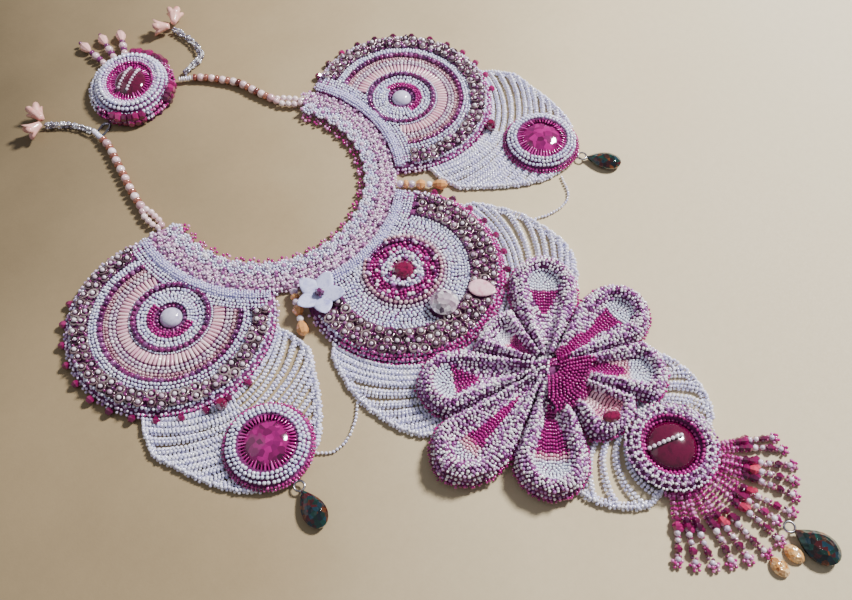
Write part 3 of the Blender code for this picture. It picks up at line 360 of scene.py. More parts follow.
petal_seed = bead_finish("petal seeds", roughness=0.1, spread=0.14, colours=(
    (140, 0, 104), (184, 12, 136), (232, 150, 180), (246, 208, 214), (240, 220, 250), (246, 246, 255),
    (228, 236, 255)))
# The darkest plum seeds in this lot are partly real dark seeds and partly painted shade for the gaps
# between the rim beads.
rim_seed = bead_finish("petal rim seeds", roughness=0.1, stepped=True, colours=(
    (254, 248, 255), (234, 214, 250), (255, 252, 255), (190, 130, 194), (248, 234, 252), (110, 36, 106),
    (252, 246, 255), (216, 166, 220), (255, 250, 255), (168, 100, 172)))
felt = pattern_finish("plum felt", scale=500.0, roughness=0.85, coat=0.0, bump=0.7, colours=(
    (78, 12, 70), (112, 30, 98), (54, 8, 50)))
lilac_felt = pattern_finish("lilac felt", scale=500.0, roughness=0.85, coat=0.0, bump=0.7, colours=(
    (150, 96, 140), (178, 130, 166), (118, 64, 108)))
milky = pattern_finish("milky lucite", scale=180.0, roughness=0.14, coat=1.0, bump=0.1, colours=(
    (176, 168, 202), (208, 202, 228), (148, 138, 176)))
frosted = pattern_finish("frosted lilac lucite", scale=260.0, roughness=0.4, coat=0.3, bump=0.2, colours=(
    (172, 174, 224), (204, 206, 244), (146, 146, 204)))
salmon = pattern_finish("salmon lucite", scale=240.0, roughness=0.22, coat=0.8, bump=0.3, colours=(
    (236, 160, 150), (244, 190, 178), (218, 128, 122)))
blush = pattern_finish("blush lucite", scale=320.0, roughness=0.3, coat=0.6, bump=0.4, colours=(
    (232, 168, 184), (240, 196, 206), (214, 138, 162)))
silver = pattern_finish("old silver", scale=300.0, roughness=0.2, metallic=1.0, coat=0.0, bump=0.2,
                        colours=((200, 198, 204), (150, 148, 158), (232, 232, 238)))
foil_magenta = foil_and_glint_finish("magenta foil glass", scale=420.0, roughness=0.12, metallic=0.0, bump=0.15,
                           colours=((78, 0, 54), (134, 0, 94), (100, 0, 74), (168, 8, 120), (48, 0, 34)))
# Partly painted flashes: the near-black greens are the drops' own glass, the copper and red patches are
# painted flashes of colour.
dark_glass_painted_flashes = foil_and_glint_finish("dark rainbow glass", scale=520.0, roughness=0.04, metallic=0.2, bump=0.5, colours=(
    (6, 14, 14), (8, 58, 50), (8, 10, 16), (14, 52, 66), (10, 8, 14), (116, 60, 22), (10, 24, 22),
    (72, 12, 20), (6, 10, 12)))
# Painted glints and reflections: the white, grey and dark plum patches stand in for what a clear cut
# crystal reflects.
clear_glass = foil_and_glint_finish("clear glass with painted glints", scale=420.0, roughness=0.04, metallic=0.2, bump=0.9, colours=(
    (232, 222, 236), (255, 252, 255), (104, 84, 104), (238, 214, 230), (255, 255, 255), (150, 120, 140),
    (74, 56, 74)))
amber_glass = foil_and_glint_finish("amber glass", scale=700.0, roughness=0.06, metallic=0.0, bump=0.6, colours=(
    (206, 140, 66), (236, 188, 122), (160, 96, 40), (248, 214, 160)))
crimson = pattern_finish("crimson glass", scale=240.0, roughness=0.1, coat=1.0, bump=0.1, colours=(
    (70, 0, 36), (84, 0, 42), (62, 0, 32)))
bright_crimson = pattern_finish("bright crimson glass", scale=420.0, roughness=0.06, coat=1.0,
                                bump=0.05, colours=((76, 0, 40), (120, 0, 58), (54, 0, 30)))
print("finishes:", len(bpy.data.materials))

# %% [markdown]
# ## The floor and the light
#
# A plain warm paper sheet lies under the necklace. Its ramp paints shade across the
# sheet, dark towards the clasp and pale towards the fringe, for the shade of cloth folds
# and of the light falling off, and soft clouds keep it from looking printed.

# %% Lay the floor
FLOOR_REACH = 3.0
# Painted shade: these tilt the floor's ramp so that the sheet darkens towards the clasp and pales towards
# the fringe.
SHADE_ACROSS, SHADE_ALONG, SHADE_START, SHADE_CLOUDS = 1.14, -1.52, 0.23, 0.5
paper, paper_tree, paper_shader = new_finish("warm paper")
paper_shade_ramp = add_ramp(paper_tree, ((94, 80, 56), (154, 134, 100), (198, 182, 148), (202, 190, 162)))
paper_clouds = add_noise(paper_tree, 5.0, 4.0, 0.55)
across = paper_tree.nodes.new("ShaderNodeTexCoord")
split = paper_tree.nodes.new("ShaderNodeSeparateXYZ")
link(paper_tree, across.outputs["Object"], split.inputs[0])
shade_slope = math_node(paper_tree, "ADD", math_node(paper_tree, "MULTIPLY", split.outputs["X"], SHADE_ACROSS),
                  math_node(paper_tree, "MULTIPLY", split.outputs["Y"], SHADE_ALONG))
drift = math_node(paper_tree, "MULTIPLY", paper_clouds.outputs["Fac"], SHADE_CLOUDS)
drift = math_node(paper_tree, "ADD", drift, SHADE_START)
link(paper_tree, math_node(paper_tree, "ADD", shade_slope, drift), paper_shade_ramp.inputs["Fac"])
paper_shader.inputs["Base Color"].default_value = tint(212, 196, 160)
clouded(paper_tree, paper_shader, paper_shade_ramp.outputs["Color"], 260.0, 0.95, 1.05)
worn_surface(paper_tree, paper_shader, 900.0, 0.75, 0.15)

floor_mesh = bpy.data.meshes.new("floor")
floor_mesh.from_pydata([(-FLOOR_REACH, -FLOOR_REACH, 0), (FLOOR_REACH, -FLOOR_REACH, 0),
                        (FLOOR_REACH, FLOOR_REACH, 0), (-FLOOR_REACH, FLOOR_REACH, 0)], [], [(0, 1, 2, 3)])
floor_mesh.materials.append(paper)
floor = add_object("floor", floor_mesh)
print("floor:", 2 * FLOOR_REACH, "m across")

# %% [markdown]
# Glass beads need a light small enough to put a spark on each, and large enough for
# soft shadows. One window of light stands at the right of the picture, so that the
# shadows fall to the lower left. A weak lamp and a pale sky fill them in.

# %% Hang the lights
def soft_light(name, offset, size, power, colour):
    """A round lamp that looks at the centre fan."""
    data = bpy.data.lights.new(name, "AREA")
    data.shape = "DISK"
    data.size = size
    data.energy = power
    data.color = colour
    lamp = add_object(name, data)
    lamp.location = FANS["centre"] + Vector(offset)
    lamp.rotation_euler = (-Vector(offset)).to_track_quat("-Z", "Y").to_euler()


soft_light("window", (0.95, -0.25, 0.95), 0.24, 47.0, (1.0, 0.98, 0.96))
soft_light("fill", (-0.35, 0.55, 0.70), 0.9, 0.8, (0.95, 0.96, 1.0))
world = bpy.data.worlds.new("room")
world.use_nodes = True
sky = world.node_tree.nodes["Background"]
sky.inputs["Color"].default_value = (0.90, 0.91, 1.0, 1.0)
sky.inputs["Strength"].default_value = 0.28
bpy.context.scene.world = world
print("lights:", len(bpy.data.lights))

# %% [markdown]
# ## The strand tree
#
# Threading beads by hand means one bead after another along a line. The tree does
# the same: it turns edges into curves, drops a point every bead's length, sets a
# small sphere on each with its hole along the thread, and lets sizes and places
# wander a little. Each line carries its own bead width and shade as attributes.

# %% Build the strand tree
def new_tree(name, inputs):
    tree = bpy.data.node_groups.new(name, "GeometryNodeTree")
    tree.interface.new_socket("Geometry", in_out="INPUT", socket_type="NodeSocketGeometry")
    for label, kind in inputs:
        tree.interface.new_socket(label, in_out="INPUT", socket_type="NodeSocket" + kind)
    tree.interface.new_socket("Geometry", in_out="OUTPUT", socket_type="NodeSocketGeometry")
    return tree, tree.nodes.new("NodeGroupInput"), tree.nodes.new("NodeGroupOutput")


def field(tree, name, kind="FLOAT"):
    node = tree.nodes.new("GeometryNodeInputNamedAttribute")
    node.data_type = kind
    node.inputs["Name"].default_value = name
    return node.outputs["Attribute"]


def random_value(tree, low, high, seed, kind="FLOAT"):
    node = tree.nodes.new("FunctionNodeRandomValue")
    node.data_type = kind
    live = {socket.name: socket for socket in node.inputs if socket.enabled}
    for label, value in (("Min", low), ("Max", high), ("Seed", seed)):
        if isinstance(value, bpy.types.NodeSocket):
            link(tree, value, live[label])
        else:
            live[label].default_value = value
    return next(socket for socket in node.outputs if socket.enabled)


def finish_tree(tree, group_in, group_out, instances):
    """Give each copy its tone, make the copies real and give them their finish."""
    store = tree.nodes.new("GeometryNodeStoreNamedAttribute")
    store.data_type = "FLOAT"
    store.domain = "INSTANCE"
    store.inputs["Name"].default_value = "tone"
    link(tree, instances, store.inputs["Geometry"])
    link(tree, random_value(tree, 0.0, 1.0, group_in.outputs["Seed"]), store.inputs["Value"])
    real = tree.nodes.new("GeometryNodeRealizeInstances")
    paint = tree.nodes.new("GeometryNodeSetMaterial")
    link(tree, store.outputs["Geometry"], real.inputs["Geometry"])
    link(tree, real.outputs["Geometry"], paint.inputs["Geometry"])
    link(tree, group_in.outputs["Finish"], paint.inputs["Material"])
    link(tree, paint.outputs["Geometry"], group_out.inputs["Geometry"])


def strand_tree():
    tree, group_in, group_out = new_tree("strand of beads", (
        ("Spacing", "Float"), ("Length", "Float"), ("Size Jitter", "Float"), ("Wander", "Float"),
        ("Sides", "Int"), ("Rings", "Int"), ("Seed", "Int"), ("Finish", "Material")))
    curve = tree.nodes.new("GeometryNodeMeshToCurve")
    points = tree.nodes.new("GeometryNodeCurveToPoints")
    points.mode = "LENGTH"
    width = field(tree, "width")
    link(tree, group_in.outputs["Geometry"], curve.inputs["Mesh"])
    link(tree, curve.outputs["Curve"], points.inputs["Curve"])
    link(tree, math_node(tree, "MULTIPLY", width, group_in.outputs["Spacing"]), points.inputs["Length"])
    shift = tree.nodes.new("GeometryNodeSetPosition")
    nudge = tree.nodes.new("ShaderNodeVectorMath")
    nudge.operation = "SCALE"
    link(tree, random_value(tree, (-1, -1, -1), (1, 1, 1), group_in.outputs["Seed"], "FLOAT_VECTOR"),
         nudge.inputs[0])
    link(tree, math_node(tree, "MULTIPLY", width, group_in.outputs["Wander"]), nudge.inputs["Scale"])
    link(tree, points.outputs["Points"], shift.inputs["Geometry"])
    link(tree, nudge.outputs[0], shift.inputs["Offset"])
    ball = tree.nodes.new("GeometryNodeMeshUVSphere")
    ball.inputs["Radius"].default_value = 0.5
    link(tree, group_in.outputs["Sides"], ball.inputs["Segments"])
    link(tree, group_in.outputs["Rings"], ball.inputs["Rings"])
    smooth = tree.nodes.new("GeometryNodeSetShadeSmooth")
    link(tree, ball.outputs["Mesh"], smooth.inputs["Geometry"])
    low = math_node(tree, "SUBTRACT", 1.0, group_in.outputs["Size Jitter"])
    high = math_node(tree, "ADD", 1.0, group_in.outputs["Size Jitter"])
    size = math_node(tree, "MULTIPLY", width, random_value(tree, low, high, group_in.outputs["Seed"]))
    scale = tree.nodes.new("ShaderNodeCombineXYZ")
    link(tree, size, scale.inputs[0])
    link(tree, size, scale.inputs[1])
    link(tree, math_node(tree, "MULTIPLY", size, group_in.outputs["Length"]), scale.inputs[2])
    copies = tree.nodes.new("GeometryNodeInstanceOnPoints")
    link(tree, shift.outputs["Geometry"], copies.inputs["Points"])
    link(tree, smooth.outputs["Geometry"], copies.inputs["Instance"])
    link(tree, points.outputs["Rotation"], copies.inputs["Rotation"])
    link(tree, scale.outputs[0], copies.inputs["Scale"])
    finish_tree(tree, group_in, group_out, copies.outputs["Instances"])
    return tree


STRANDS = strand_tree()
print("strand tree nodes:", len(STRANDS.nodes))

# %% [markdown]
# Larger parts, such as bugles, cups, spikes and cut crystals, aren't spheres. A
# second tree sets a copy of one small template on each chosen place, turned and
# sized by that place's attributes.

# %% Build the setting tree
def setting_tree():
    tree, group_in, group_out = new_tree("set pieces", (
        ("Template", "Object"), ("Size Jitter", "Float"), ("Seed", "Int"), ("Finish", "Material")))
    shape = tree.nodes.new("GeometryNodeObjectInfo")
    link(tree, group_in.outputs["Template"], shape.inputs["Object"])
    turn = tree.nodes.new("FunctionNodeEulerToRotation")
    link(tree, field(tree, "turn", "FLOAT_VECTOR"), turn.inputs[0])
    low = math_node(tree, "SUBTRACT", 1.0, group_in.outputs["Size Jitter"])
    high = math_node(tree, "ADD", 1.0, group_in.outputs["Size Jitter"])
    size = math_node(tree, "MULTIPLY", field(tree, "width"),
                     random_value(tree, low, high, group_in.outputs["Seed"]))
    copies = tree.nodes.new("GeometryNodeInstanceOnPoints")
    link(tree, group_in.outputs["Geometry"], copies.inputs["Points"])
    link(tree, shape.outputs["Geometry"], copies.inputs["Instance"])
    link(tree, turn.outputs[0], copies.inputs["Rotation"])
    link(tree, size, copies.inputs["Scale"])
    finish_tree(tree, group_in, group_out, copies.outputs["Instances"])
    return tree


SETTINGS = setting_tree()
print("setting tree nodes:", len(SETTINGS.nodes))

# %% [markdown]
# A tree's result is only live on its object. It is turned into a plain mesh at once,
# so that it can be measured, exported and handed over like any other piece.

# %% Turn a tree's result into a plain piece
TRIANGLES = {}


def made_by(tree, item, values):
    """Run a tree on an object and keep its result as a plain mesh."""
    modifier = item.modifiers.new(tree.name, "NODES")
    modifier.node_group = tree
    for socket in tree.interface.items_tree:
        if getattr(socket, "in_out", "") == "INPUT" and socket.name in values:
            modifier[socket.identifier] = values[socket.name]
    bpy.context.view_layer.update()
    graph = bpy.context.evaluated_depsgraph_get()
    mesh = bpy.data.meshes.new_from_object(item.evaluated_get(graph), preserve_all_data_layers=True,
                                           depsgraph=graph)
    item.modifiers.remove(modifier)
    item.data = mesh
    TRIANGLES[item.name] = sum(len(face.vertices) - 2 for face in mesh.polygons)
    return item


def row(points, width, shade=0.5, closed=False):
    """One thread of beads: its points, the beads' width in millimetres and its shade."""
    return points, width, shade, closed


def bead_rows(name, rows, finish, spacing=1.05, length=0.9, jitter=0.08, wander=0.06, sides=6, rings=4,
              seed=1):
    """Thread beads along rows of points."""
    points, edges, widths, shades = [], [], [], []
    for line, width, shade, closed in rows:
        first = len(points)
        count = len(line)
        points += [tuple(point) for point in line]
        edges += [(first + k, first + k + 1) for k in range(count - 1)]
        if closed:
            edges.append((first + count - 1, first))
        widths += [width * MM] * count
        shades += list(shade) if isinstance(shade, (list, tuple)) else [shade] * count
    mesh = bpy.data.meshes.new(name)
    mesh.from_pydata(points, edges, [])
    mesh.attributes.new("width", "FLOAT", "POINT").data.foreach_set("value", widths)
    mesh.attributes.new("shade", "FLOAT", "POINT").data.foreach_set("value", shades)
    item = add_object(name, mesh)
    return made_by(STRANDS, item, {"Spacing": spacing, "Length": length, "Size Jitter": jitter,
                                   "Wander": wander, "Sides": sides, "Rings": rings, "Seed": seed,
                                   "Finish": finish})


def set_copies(name, template, places, finish, jitter=0.05, seed=1):
    """Set copies of a template. A place is (point, (tilt x, tilt y, turn) in degrees, size)."""
    mesh = bpy.data.meshes.new(name)
    mesh.from_pydata([tuple(point) for point, turn, size in places], [], [])
    turns = [math.radians(angle) for point, turn, size in places for angle in turn]
    mesh.attributes.new("turn", "FLOAT_VECTOR", "POINT").data.foreach_set("vector", turns)
    mesh.attributes.new("width", "FLOAT", "POINT").data.foreach_set("value", [p[2] for p in places])
    mesh.attributes.new("shade", "FLOAT", "POINT").data.foreach_set("value", [0.5] * len(places))
    item = add_object(name, mesh)
    return made_by(SETTINGS, item, {"Template": template, "Size Jitter": jitter, "Seed": seed,
                                    "Finish": finish})


print("trees ready:", len(bpy.data.node_groups))

# %% [markdown]
# ## Templates
#
# Small shapes that are set many times stay light: a few dozen faces each. They are
# drawn in millimetres round the origin, most of them one millimetre wide, so that a
# place's size scales them. They are listed and removed at the end, because a template
# isn't part of the necklace.

# %% Draw the templates
TEMPLATES = []


def lathe(name, section, sides, smooth=True, squash=1.0):
    """Turn a section of (radius, height) in millimetres into a closed shape."""
    work = bmesh.new()
    rings = []
    for radius, height in section:
        if radius == 0:
            rings.append([work.verts.new((0, 0, height * MM))])
            continue
        ring = []
        for k in range(sides):
            angle = 2 * math.pi * k / sides
            ring.append(work.verts.new((radius * MM * math.cos(angle),
                                        radius * MM * squash * math.sin(angle), height * MM)))
        rings.append(ring)
    for low, high in zip(rings, rings[1:]):
        for k in range(sides):
            quad = [low[k % len(low)], low[(k + 1) % len(low)], high[(k + 1) % len(high)],
                    high[k % len(high)]]
            corners = list(dict.fromkeys(quad))
            if len(corners) > 2:
                work.faces.new(corners)
    if section[0] == section[-1]:
        bmesh.ops.remove_doubles(work, verts=work.verts, dist=1e-7)
    return as_item(name, work, smooth)


def as_item(name, work, smooth=True):
    """Turn a working mesh into an object with its faces outwards."""
    bmesh.ops.recalc_face_normals(work, faces=work.faces)
    for face in work.faces:
        face.smooth = smooth
    mesh = bpy.data.meshes.new(name)
    work.to_mesh(mesh)
    work.free()
    return add_object(name, mesh)


def template(name, section, sides, smooth=True, turn=None):
    item = lathe(name, section, sides, smooth)
    if turn:
        item.data.transform(turn)
    TEMPLATES.append(item)
    return item


LYING = Matrix.Rotation(math.radians(90.0), 4, "Y")
bugle = template("bugle", ((0, -2.5), (0.62, -2.4), (0.75, -2.0), (0.75, 2.0), (0.62, 2.4), (0, 2.5)), 6,
                 turn=LYING)
cup_ring = template("cup_ring", ((1.35, 0.0), (1.9, 0.62), (2.45, 0.0), (1.9, -0.5), (1.35, 0.0)), 8)
pearl = template("pearl", ((0, -0.5), (0.35, -0.36), (0.5, 0.0), (0.35, 0.36), (0, 0.5)), 8)
big_pearl = template("big_pearl", ((0, -0.5), (0.19, -0.46), (0.35, -0.35), (0.46, -0.19), (0.5, 0.0),
                                   (0.46, 0.19), (0.35, 0.35), (0.19, 0.46), (0, 0.5)), 12)
cut_bead = template("cut_bead", ((0, -0.42), (0.28, -0.42), (0.5, -0.08), (0.5, 0.08), (0.28, 0.42),
                                 (0, 0.42)), 7, smooth=False)
briolette = template("briolette", ((0, -0.72), (0.2, -0.6), (0.42, -0.2), (0.5, 0.15), (0.36, 0.52),
                                   (0, 0.72)), 9, smooth=False)
spike = template("spike", ((0, -0.5), (0.16, -0.4), (0.2, 0.0), (0.1, 0.6), (0, 1.0)), 5, turn=LYING)
rondelle = template("rondelle", ((0, -0.5), (0.7, -0.5), (1.0, -0.2), (1.0, 0.2), (0.7, 0.5), (0, 0.5)), 10)
print("templates:", len(TEMPLATES))

# %% [markdown]
# ## Lines to thread
#
# Most rows are circles round a stone, or arcs cut off where the next part begins.
# Two helpers draw them and a third one cuts them, because a jeweller stops a row
# there too, rather than sewing it on under the next part.

# %% Draw circles and cut them
def circle(centre, radius, height, wave=0.0, waves=0, steps=0):
    steps = steps or max(24, int(radius * 4))
    line = []
    for k in range(steps):
        angle = 360.0 * k / steps
        out = radius + wave * math.sin(math.radians(angle * waves))
        line.append(spot(centre, out, angle, height))
    return line


def arc(centre, radius, first, last, height, steps=0):
    steps = steps or max(6, int(abs(last - first) * radius / 90))
    return [spot(centre, radius, first + (last - first) * k / steps, height) for k in range(steps + 1)]


def cut_rows(rows, keep):
    """Split rows so that only their points where keep is true remain."""
    out = []
    for line, width, shade, closed in rows:
        flags = [keep(point) for point in line]
        if all(flags):
            out.append((line, width, shade, closed))
            continue
        if closed:
            start = flags.index(False)
            line = line[start:] + line[:start]
            flags = flags[start:] + flags[:start]
        run = []
        for point, flag in zip(line, flags):
            if flag:
                run.append(point)
            elif run:
                if len(run) > 2:
                    out.append((run, width, shade, False))
                run = []
        if len(run) > 2:
            out.append((run, width, shade, False))
    return out


print("points on a circle of 10 mm:", len(circle(ORIGIN, 10.0, 0.0)))

# %% [markdown]
# ## The collar
#
# The band round the throat is a dense mat of lilac and white seeds on lilac felt. Its
# inner edge is a row of little rings, each round a cream or mauve pearl, with magenta
# picots that point into the throat. The CAD collar stays as the felt. Three wavy rows
# and many small circles of seeds cover it, with mauve pearls in and between them.

# %% Bead the collar
COLLAR_FIRST, COLLAR_SWEEP, COLLAR_TOP = -202.0, 224.0, 3.0
SCALLOPS = 26
RING_LINE, PICOT_LINE, PICOT_LENGTH = 50.3, 46.6, 1.9
CIRCLES = ((55.2, 0.0), (55.2, 0.5), (58.2, 0.25), (58.2, 0.75))
FILL_PEARLS = ((48.4, 0.5, 2.2), (53.0, 0.5, 2.3), (60.7, 0.0, 2.0), (60.7, 0.5, 2.0))


def collar_row(radius, height, width):
    return row(arc(THROAT, radius, COLLAR_FIRST, COLLAR_FIRST + COLLAR_SWEEP, height, 240), width)


collar_rows = []
for radius, lift in ((56.6, 0.8), (59.2, 0.8), (61.4, 0.4)):
    line = []
    for k in range(241):
        angle = COLLAR_FIRST + COLLAR_SWEEP * k / 240
        line.append(spot(THROAT, radius + 0.7 * math.sin(k * 0.55 + radius), angle, COLLAR_TOP + lift))
    collar_rows.append(row(line, 1.7))
collar_rows += [collar_row(62.2, 1.6, 1.5), collar_row(49.2, 1.4, 1.4)]
ring_rows, pearl_places, mauve_places, picot_rows = [], [], [], []
step = COLLAR_SWEEP / SCALLOPS
for k in range(SCALLOPS):
    angle = COLLAR_FIRST + step * (k + 0.5)
    centre = spot(THROAT, RING_LINE, angle)
    ring_rows.append(row(circle(centre, 3.2, COLLAR_TOP + 0.8, steps=18), 1.7, closed=True))
    ring_rows.append(row(circle(centre, 1.8, COLLAR_TOP + 1.3, steps=12), 1.3, closed=True))
    places = pearl_places if k % 2 else mauve_places
    places.append((spot(THROAT, RING_LINE, angle, COLLAR_TOP + 1.7), (0, 0, angle), 2.3))
    for radius, turn in CIRCLES:
        middle = spot(THROAT, radius, angle + step * turn)
        collar_rows.append(row(circle(middle, 1.45, COLLAR_TOP + 0.9, steps=10), 1.3, closed=True))
        middle = spot(THROAT, radius, angle + step * turn, COLLAR_TOP + 1.6)
        mauve_places.append((middle, (0, 0, angle), 1.9))
    for radius, turn, size in FILL_PEARLS:
        place = angle + step * turn
        mauve_places.append((spot(THROAT, radius, place, COLLAR_TOP + 1.2), (0, 0, place), size))
    for swing in (-2.2, 0.0, 2.2):
        out = PICOT_LINE - 0.9 * (swing == 0)
        picot_rows.append(row([spot(THROAT, out, angle + swing, 1.9),
                               spot(THROAT, out - PICOT_LENGTH, angle + swing, 1.7)], 1.7))
COLLAR_PIECES = (
    (bead_rows("collar_seeds", collar_rows, collar_seed, spacing=1.15, wander=0.16, jitter=0.16, rings=3,
               seed=3), "seed_lilac"),
    (bead_rows("collar_rings", ring_rows, white_seed, wander=0.12, seed=4), "net_white"),
    (set_copies("collar_pearls", pearl, pearl_places, cream_pearl, seed=5), "seed_lilac"),
    (set_copies("collar_plum", pearl, mauve_places, mauve_pearl, jitter=0.12, seed=7), "fan_beads"),
    (bead_rows("collar_picots", picot_rows, fringe_seed, spacing=0.9, wander=0.2, seed=6), "magenta_glass"),
)
print("collar rings:", len(ring_rows))

# %% [markdown]
# ## The fans
#
# Each fan is embroidered in rings from its stone outwards. The two side fans have a
# crescent of magenta seeds, white seeds, plum pearls, a wheel of pink bugles, cream
# and rosy pearls, and a belt of metal cups. The centre fan has wavy rings of its own
# with loose speckles on them. The CAD fan stays below as felt, and a table of its
# heights sets every ring. A ring is cut where the collar or a trim covers it.

# %% Rules that the fans share
FAN_TOP = ((0.0, 3.0), (6.2, 3.0), (8.2, 4.68), (13.0, 3.6), (17.4, 5.04), (19.8, 3.6), (29.8, 3.6),
           (32.2, 5.04), (35.4, 3.84), (40.6, 5.4), (44.8, 3.6), (46.2, 1.7), (48.0, 1.0), (60.0, 1.0))
RIBBON_EDGE, STIPPLE_EDGE, LACE_EDGE, CRYSTAL_EDGE = 67.6, 72.2, 63.0, 66.0
INNER_RINGS = 22.0
LILY = FANS["centre"] + spot(ORIGIN, 39.5, 149.0)
CLEAR = FANS["centre"] + spot(ORIGIN, 26.5, -98.0)
LEAF = FANS["centre"] + spot(ORIGIN, 37.5, -70.0)


def fan_height(radius, width=0.0):
    return blend(FAN_TOP, radius) + 0.36 * width


def on_fan(side, edge=STIPPLE_EDGE):
    """True for points of a fan that neither the collar nor a trim covers."""
    def keep(point):
        if not away(point, THROAT, edge):
            return False
        if side != "centre":
            return True
        return away(point, LILY, 9.0) and away(point, CLEAR, 6.5) and away(point, LEAF, 5.0)
    return keep


def fan_rings(side, rings, swirl=0.0):
    """Rings of (radius, bead width), cut back at the collar. A swirl makes the inner ones wavy."""
    rows = []
    for radius, width in rings:
        wave = swirl * (6.0 < radius < 15.0)
        line = circle(FANS[side], radius, fan_height(radius, width), wave, 3 if radius < 10.0 else 4)
        rows.append(row(line, width, closed=True))
    inner = [item for item, (radius, width) in zip(rows, rings) if radius < INNER_RINGS]
    outer = rows[len(inner):]
    return cut_rows(inner, on_fan(side, RIBBON_EDGE)) + cut_rows(outer, on_fan(side))


def fan_places(side, radius, pitch, width, first=0.0, lift=0.36):
    """Places for set pieces round a fan."""
    count = int(2 * math.pi * radius / pitch)
    keep = on_fan(side)
    places = []
    for k in range(count):
        angle = first + 360.0 * k / count
        point = spot(FANS[side], radius, angle, blend(FAN_TOP, radius) + lift * width)
        if keep(point):
            places.append((point, (0, 0, angle), width))
    return places


print("fan trims at", [round(bearing(FANS["centre"], place)) for place in (LILY, CLEAR, LEAF)])

# %% List the rings
SIDE_RINGS = {
    "plum": ((6.3, 1.9), (16.6, 2.5), (30.8, 2.5)),
    "magenta": (),
    "lilac": ((11.3, 1.7), (12.9, 1.8), (14.5, 1.6), (18.2, 1.1), (32.7, 1.6), (34.2, 1.7), (35.6, 1.4),
              (43.7, 1.6)),
    "cream": ((24.9, 1.9), (26.6, 1.8)),
    "peach": ((28.2, 1.7), (29.4, 1.1)),
    "dark": ((36.6, 1.2), (39.6, 1.2), (42.7, 1.1)),
}
CENTRE_RINGS = {
    "plum": ((15.9, 1.9),),
    "magenta": ((5.7, 1.8), (10.9, 1.8), (12.5, 1.8), (14.2, 1.8)),
    "lilac": ((7.2, 1.8), (9.0, 1.8), (21.2, 1.7), (22.8, 1.8), (24.4, 1.8), (26.0, 1.8), (27.5, 1.6),
              (28.8, 1.5), (30.1, 1.6), (43.7, 1.6)),
    "cream": ((19.5, 1.9),),
    "peach": ((17.7, 2.1),),
    "dark": ((31.4, 1.3), (35.4, 1.2), (39.4, 1.2)),
}
CRESCENT, CRESCENT_SWEEP = (7.9, 9.0, 10.1), 100
STIPPLE, STIPPLE_FROM, STIPPLE_TO = (68.4, 70.0, 71.5), 18.6, 45.0
CENTRE_RIM = ((43.9, 4.9), (45.3, 3.7), (46.8, 2.1))
SIDE_RIM = ((45.9, 2.8), (46.9, 1.3))
SIDE_STEMS, SIDE_RIM_SWEEP = {"left": -103.0, "right": -74.5}, 47


def fan_rows(side):
    """Every threaded row of a fan, by colour."""
    heading = bearing(THROAT, FANS[side])
    if side == "centre":
        beads = {name: fan_rings(side, rings, 0.8) for name, rings in CENTRE_RINGS.items()}
    else:
        beads = {name: fan_rings(side, rings) for name, rings in SIDE_RINGS.items()}
        for radius in CRESCENT:
            height = fan_height(radius, 1.4)
            for colour, first, last in (("magenta", -CRESCENT_SWEEP, CRESCENT_SWEEP),
                                        ("lilac", CRESCENT_SWEEP + 5, 355 - CRESCENT_SWEEP)):
                line = arc(FANS[side], radius, heading + first, heading + last, height)
                beads[colour].append(row(line, 1.4))
    stipple = [row(arc(THROAT, reach, heading - 30, heading + 30, 5.0, 90), 1.5) for reach in STIPPLE]
    beads["lilac"] += cut_rows(stipple, lambda point: away(point, FANS[side], STIPPLE_FROM)
                               and not away(point, FANS[side], STIPPLE_TO))
    if side == "centre":
        beads["magenta"] += [row(arc(FANS[side], out, -178, 20, height), 1.8) for out, height in CENTRE_RIM]
    else:
        stem = SIDE_STEMS[side]
        first, last = stem - SIDE_RIM_SWEEP, stem + SIDE_RIM_SWEEP
        for out, height in SIDE_RIM:
            beads["magenta"].append(row(arc(FANS[side], out, first, last, height), 1.5))
    return beads


print("ring tables:", len(SIDE_RINGS), len(CENTRE_RINGS))

# %% [markdown]
# The ribbon that crosses each fan is a folded satin band with rows of tiny seeds on
# it. A band follows a path with one section, so its section is swept along an arc in
# mesh code, and it thins out at both ends. The lacing is two rows of small loops.

# %% Sew the ribbons and the lacing
RIBBON_HALF_SWEEP, RIBBON_FLOOR = 32.5, 0.4
RIBBON_ROWS = ((62.9, 4.9), (64.0, 5.6), (65.1, 5.8), (66.2, 5.6), (67.2, 4.8))
LACE_LOOPS = 60
LACE_LOOP = ((-0.6, -2.8), (0.7, -1.6), (1.2, 0.0), (0.7, 1.6), (-0.6, 2.8))
satin = pattern_finish("lavender satin", ((186, 180, 220), (208, 204, 240), (160, 150, 196)), 600.0,
                       roughness=0.5, coat=0.2, bump=0.5)


def satin_ribbon(name, side, inner, outer, top):
    """A domed band that follows the collar across a fan."""
    heading = bearing(THROAT, FANS[side])
    section = ((inner, 0.8), (inner + 0.5, 3.9), (inner + 1.7, top), (outer - 1.6, top), (outer - 0.4, 4.4),
               (outer, 2.8), (outer, 0.4), (inner, 0.4))
    work = bmesh.new()
    steps = 64
    rings = []
    for k in range(steps + 1):
        share = 2.0 * k / steps - 1.0
        ends = min(1.0, (1.0 - abs(share)) * 9.0)
        thin = 0.45 + 0.55 * math.sqrt(ends)
        rings.append([work.verts.new(spot(THROAT, radius, heading + RIBBON_HALF_SWEEP * share,
                                          RIBBON_FLOOR + (height - RIBBON_FLOOR) * thin))
                      for radius, height in section])
    for a, b in zip(rings, rings[1:]):
        for k in range(len(section)):
            work.faces.new((a[k], a[(k + 1) % len(section)], b[(k + 1) % len(section)], b[k]))
    work.faces.new(rings[0])
    work.faces.new(rings[-1])
    item = as_item(name, work)
    item.data.materials.append(satin)
    return item


def ribbon_rows(side):
    heading = bearing(THROAT, FANS[side])
    return [row(arc(THROAT, reach, heading - 31.5, heading + 31.5, height, 90), 1.25)
            for reach, height in RIBBON_ROWS]


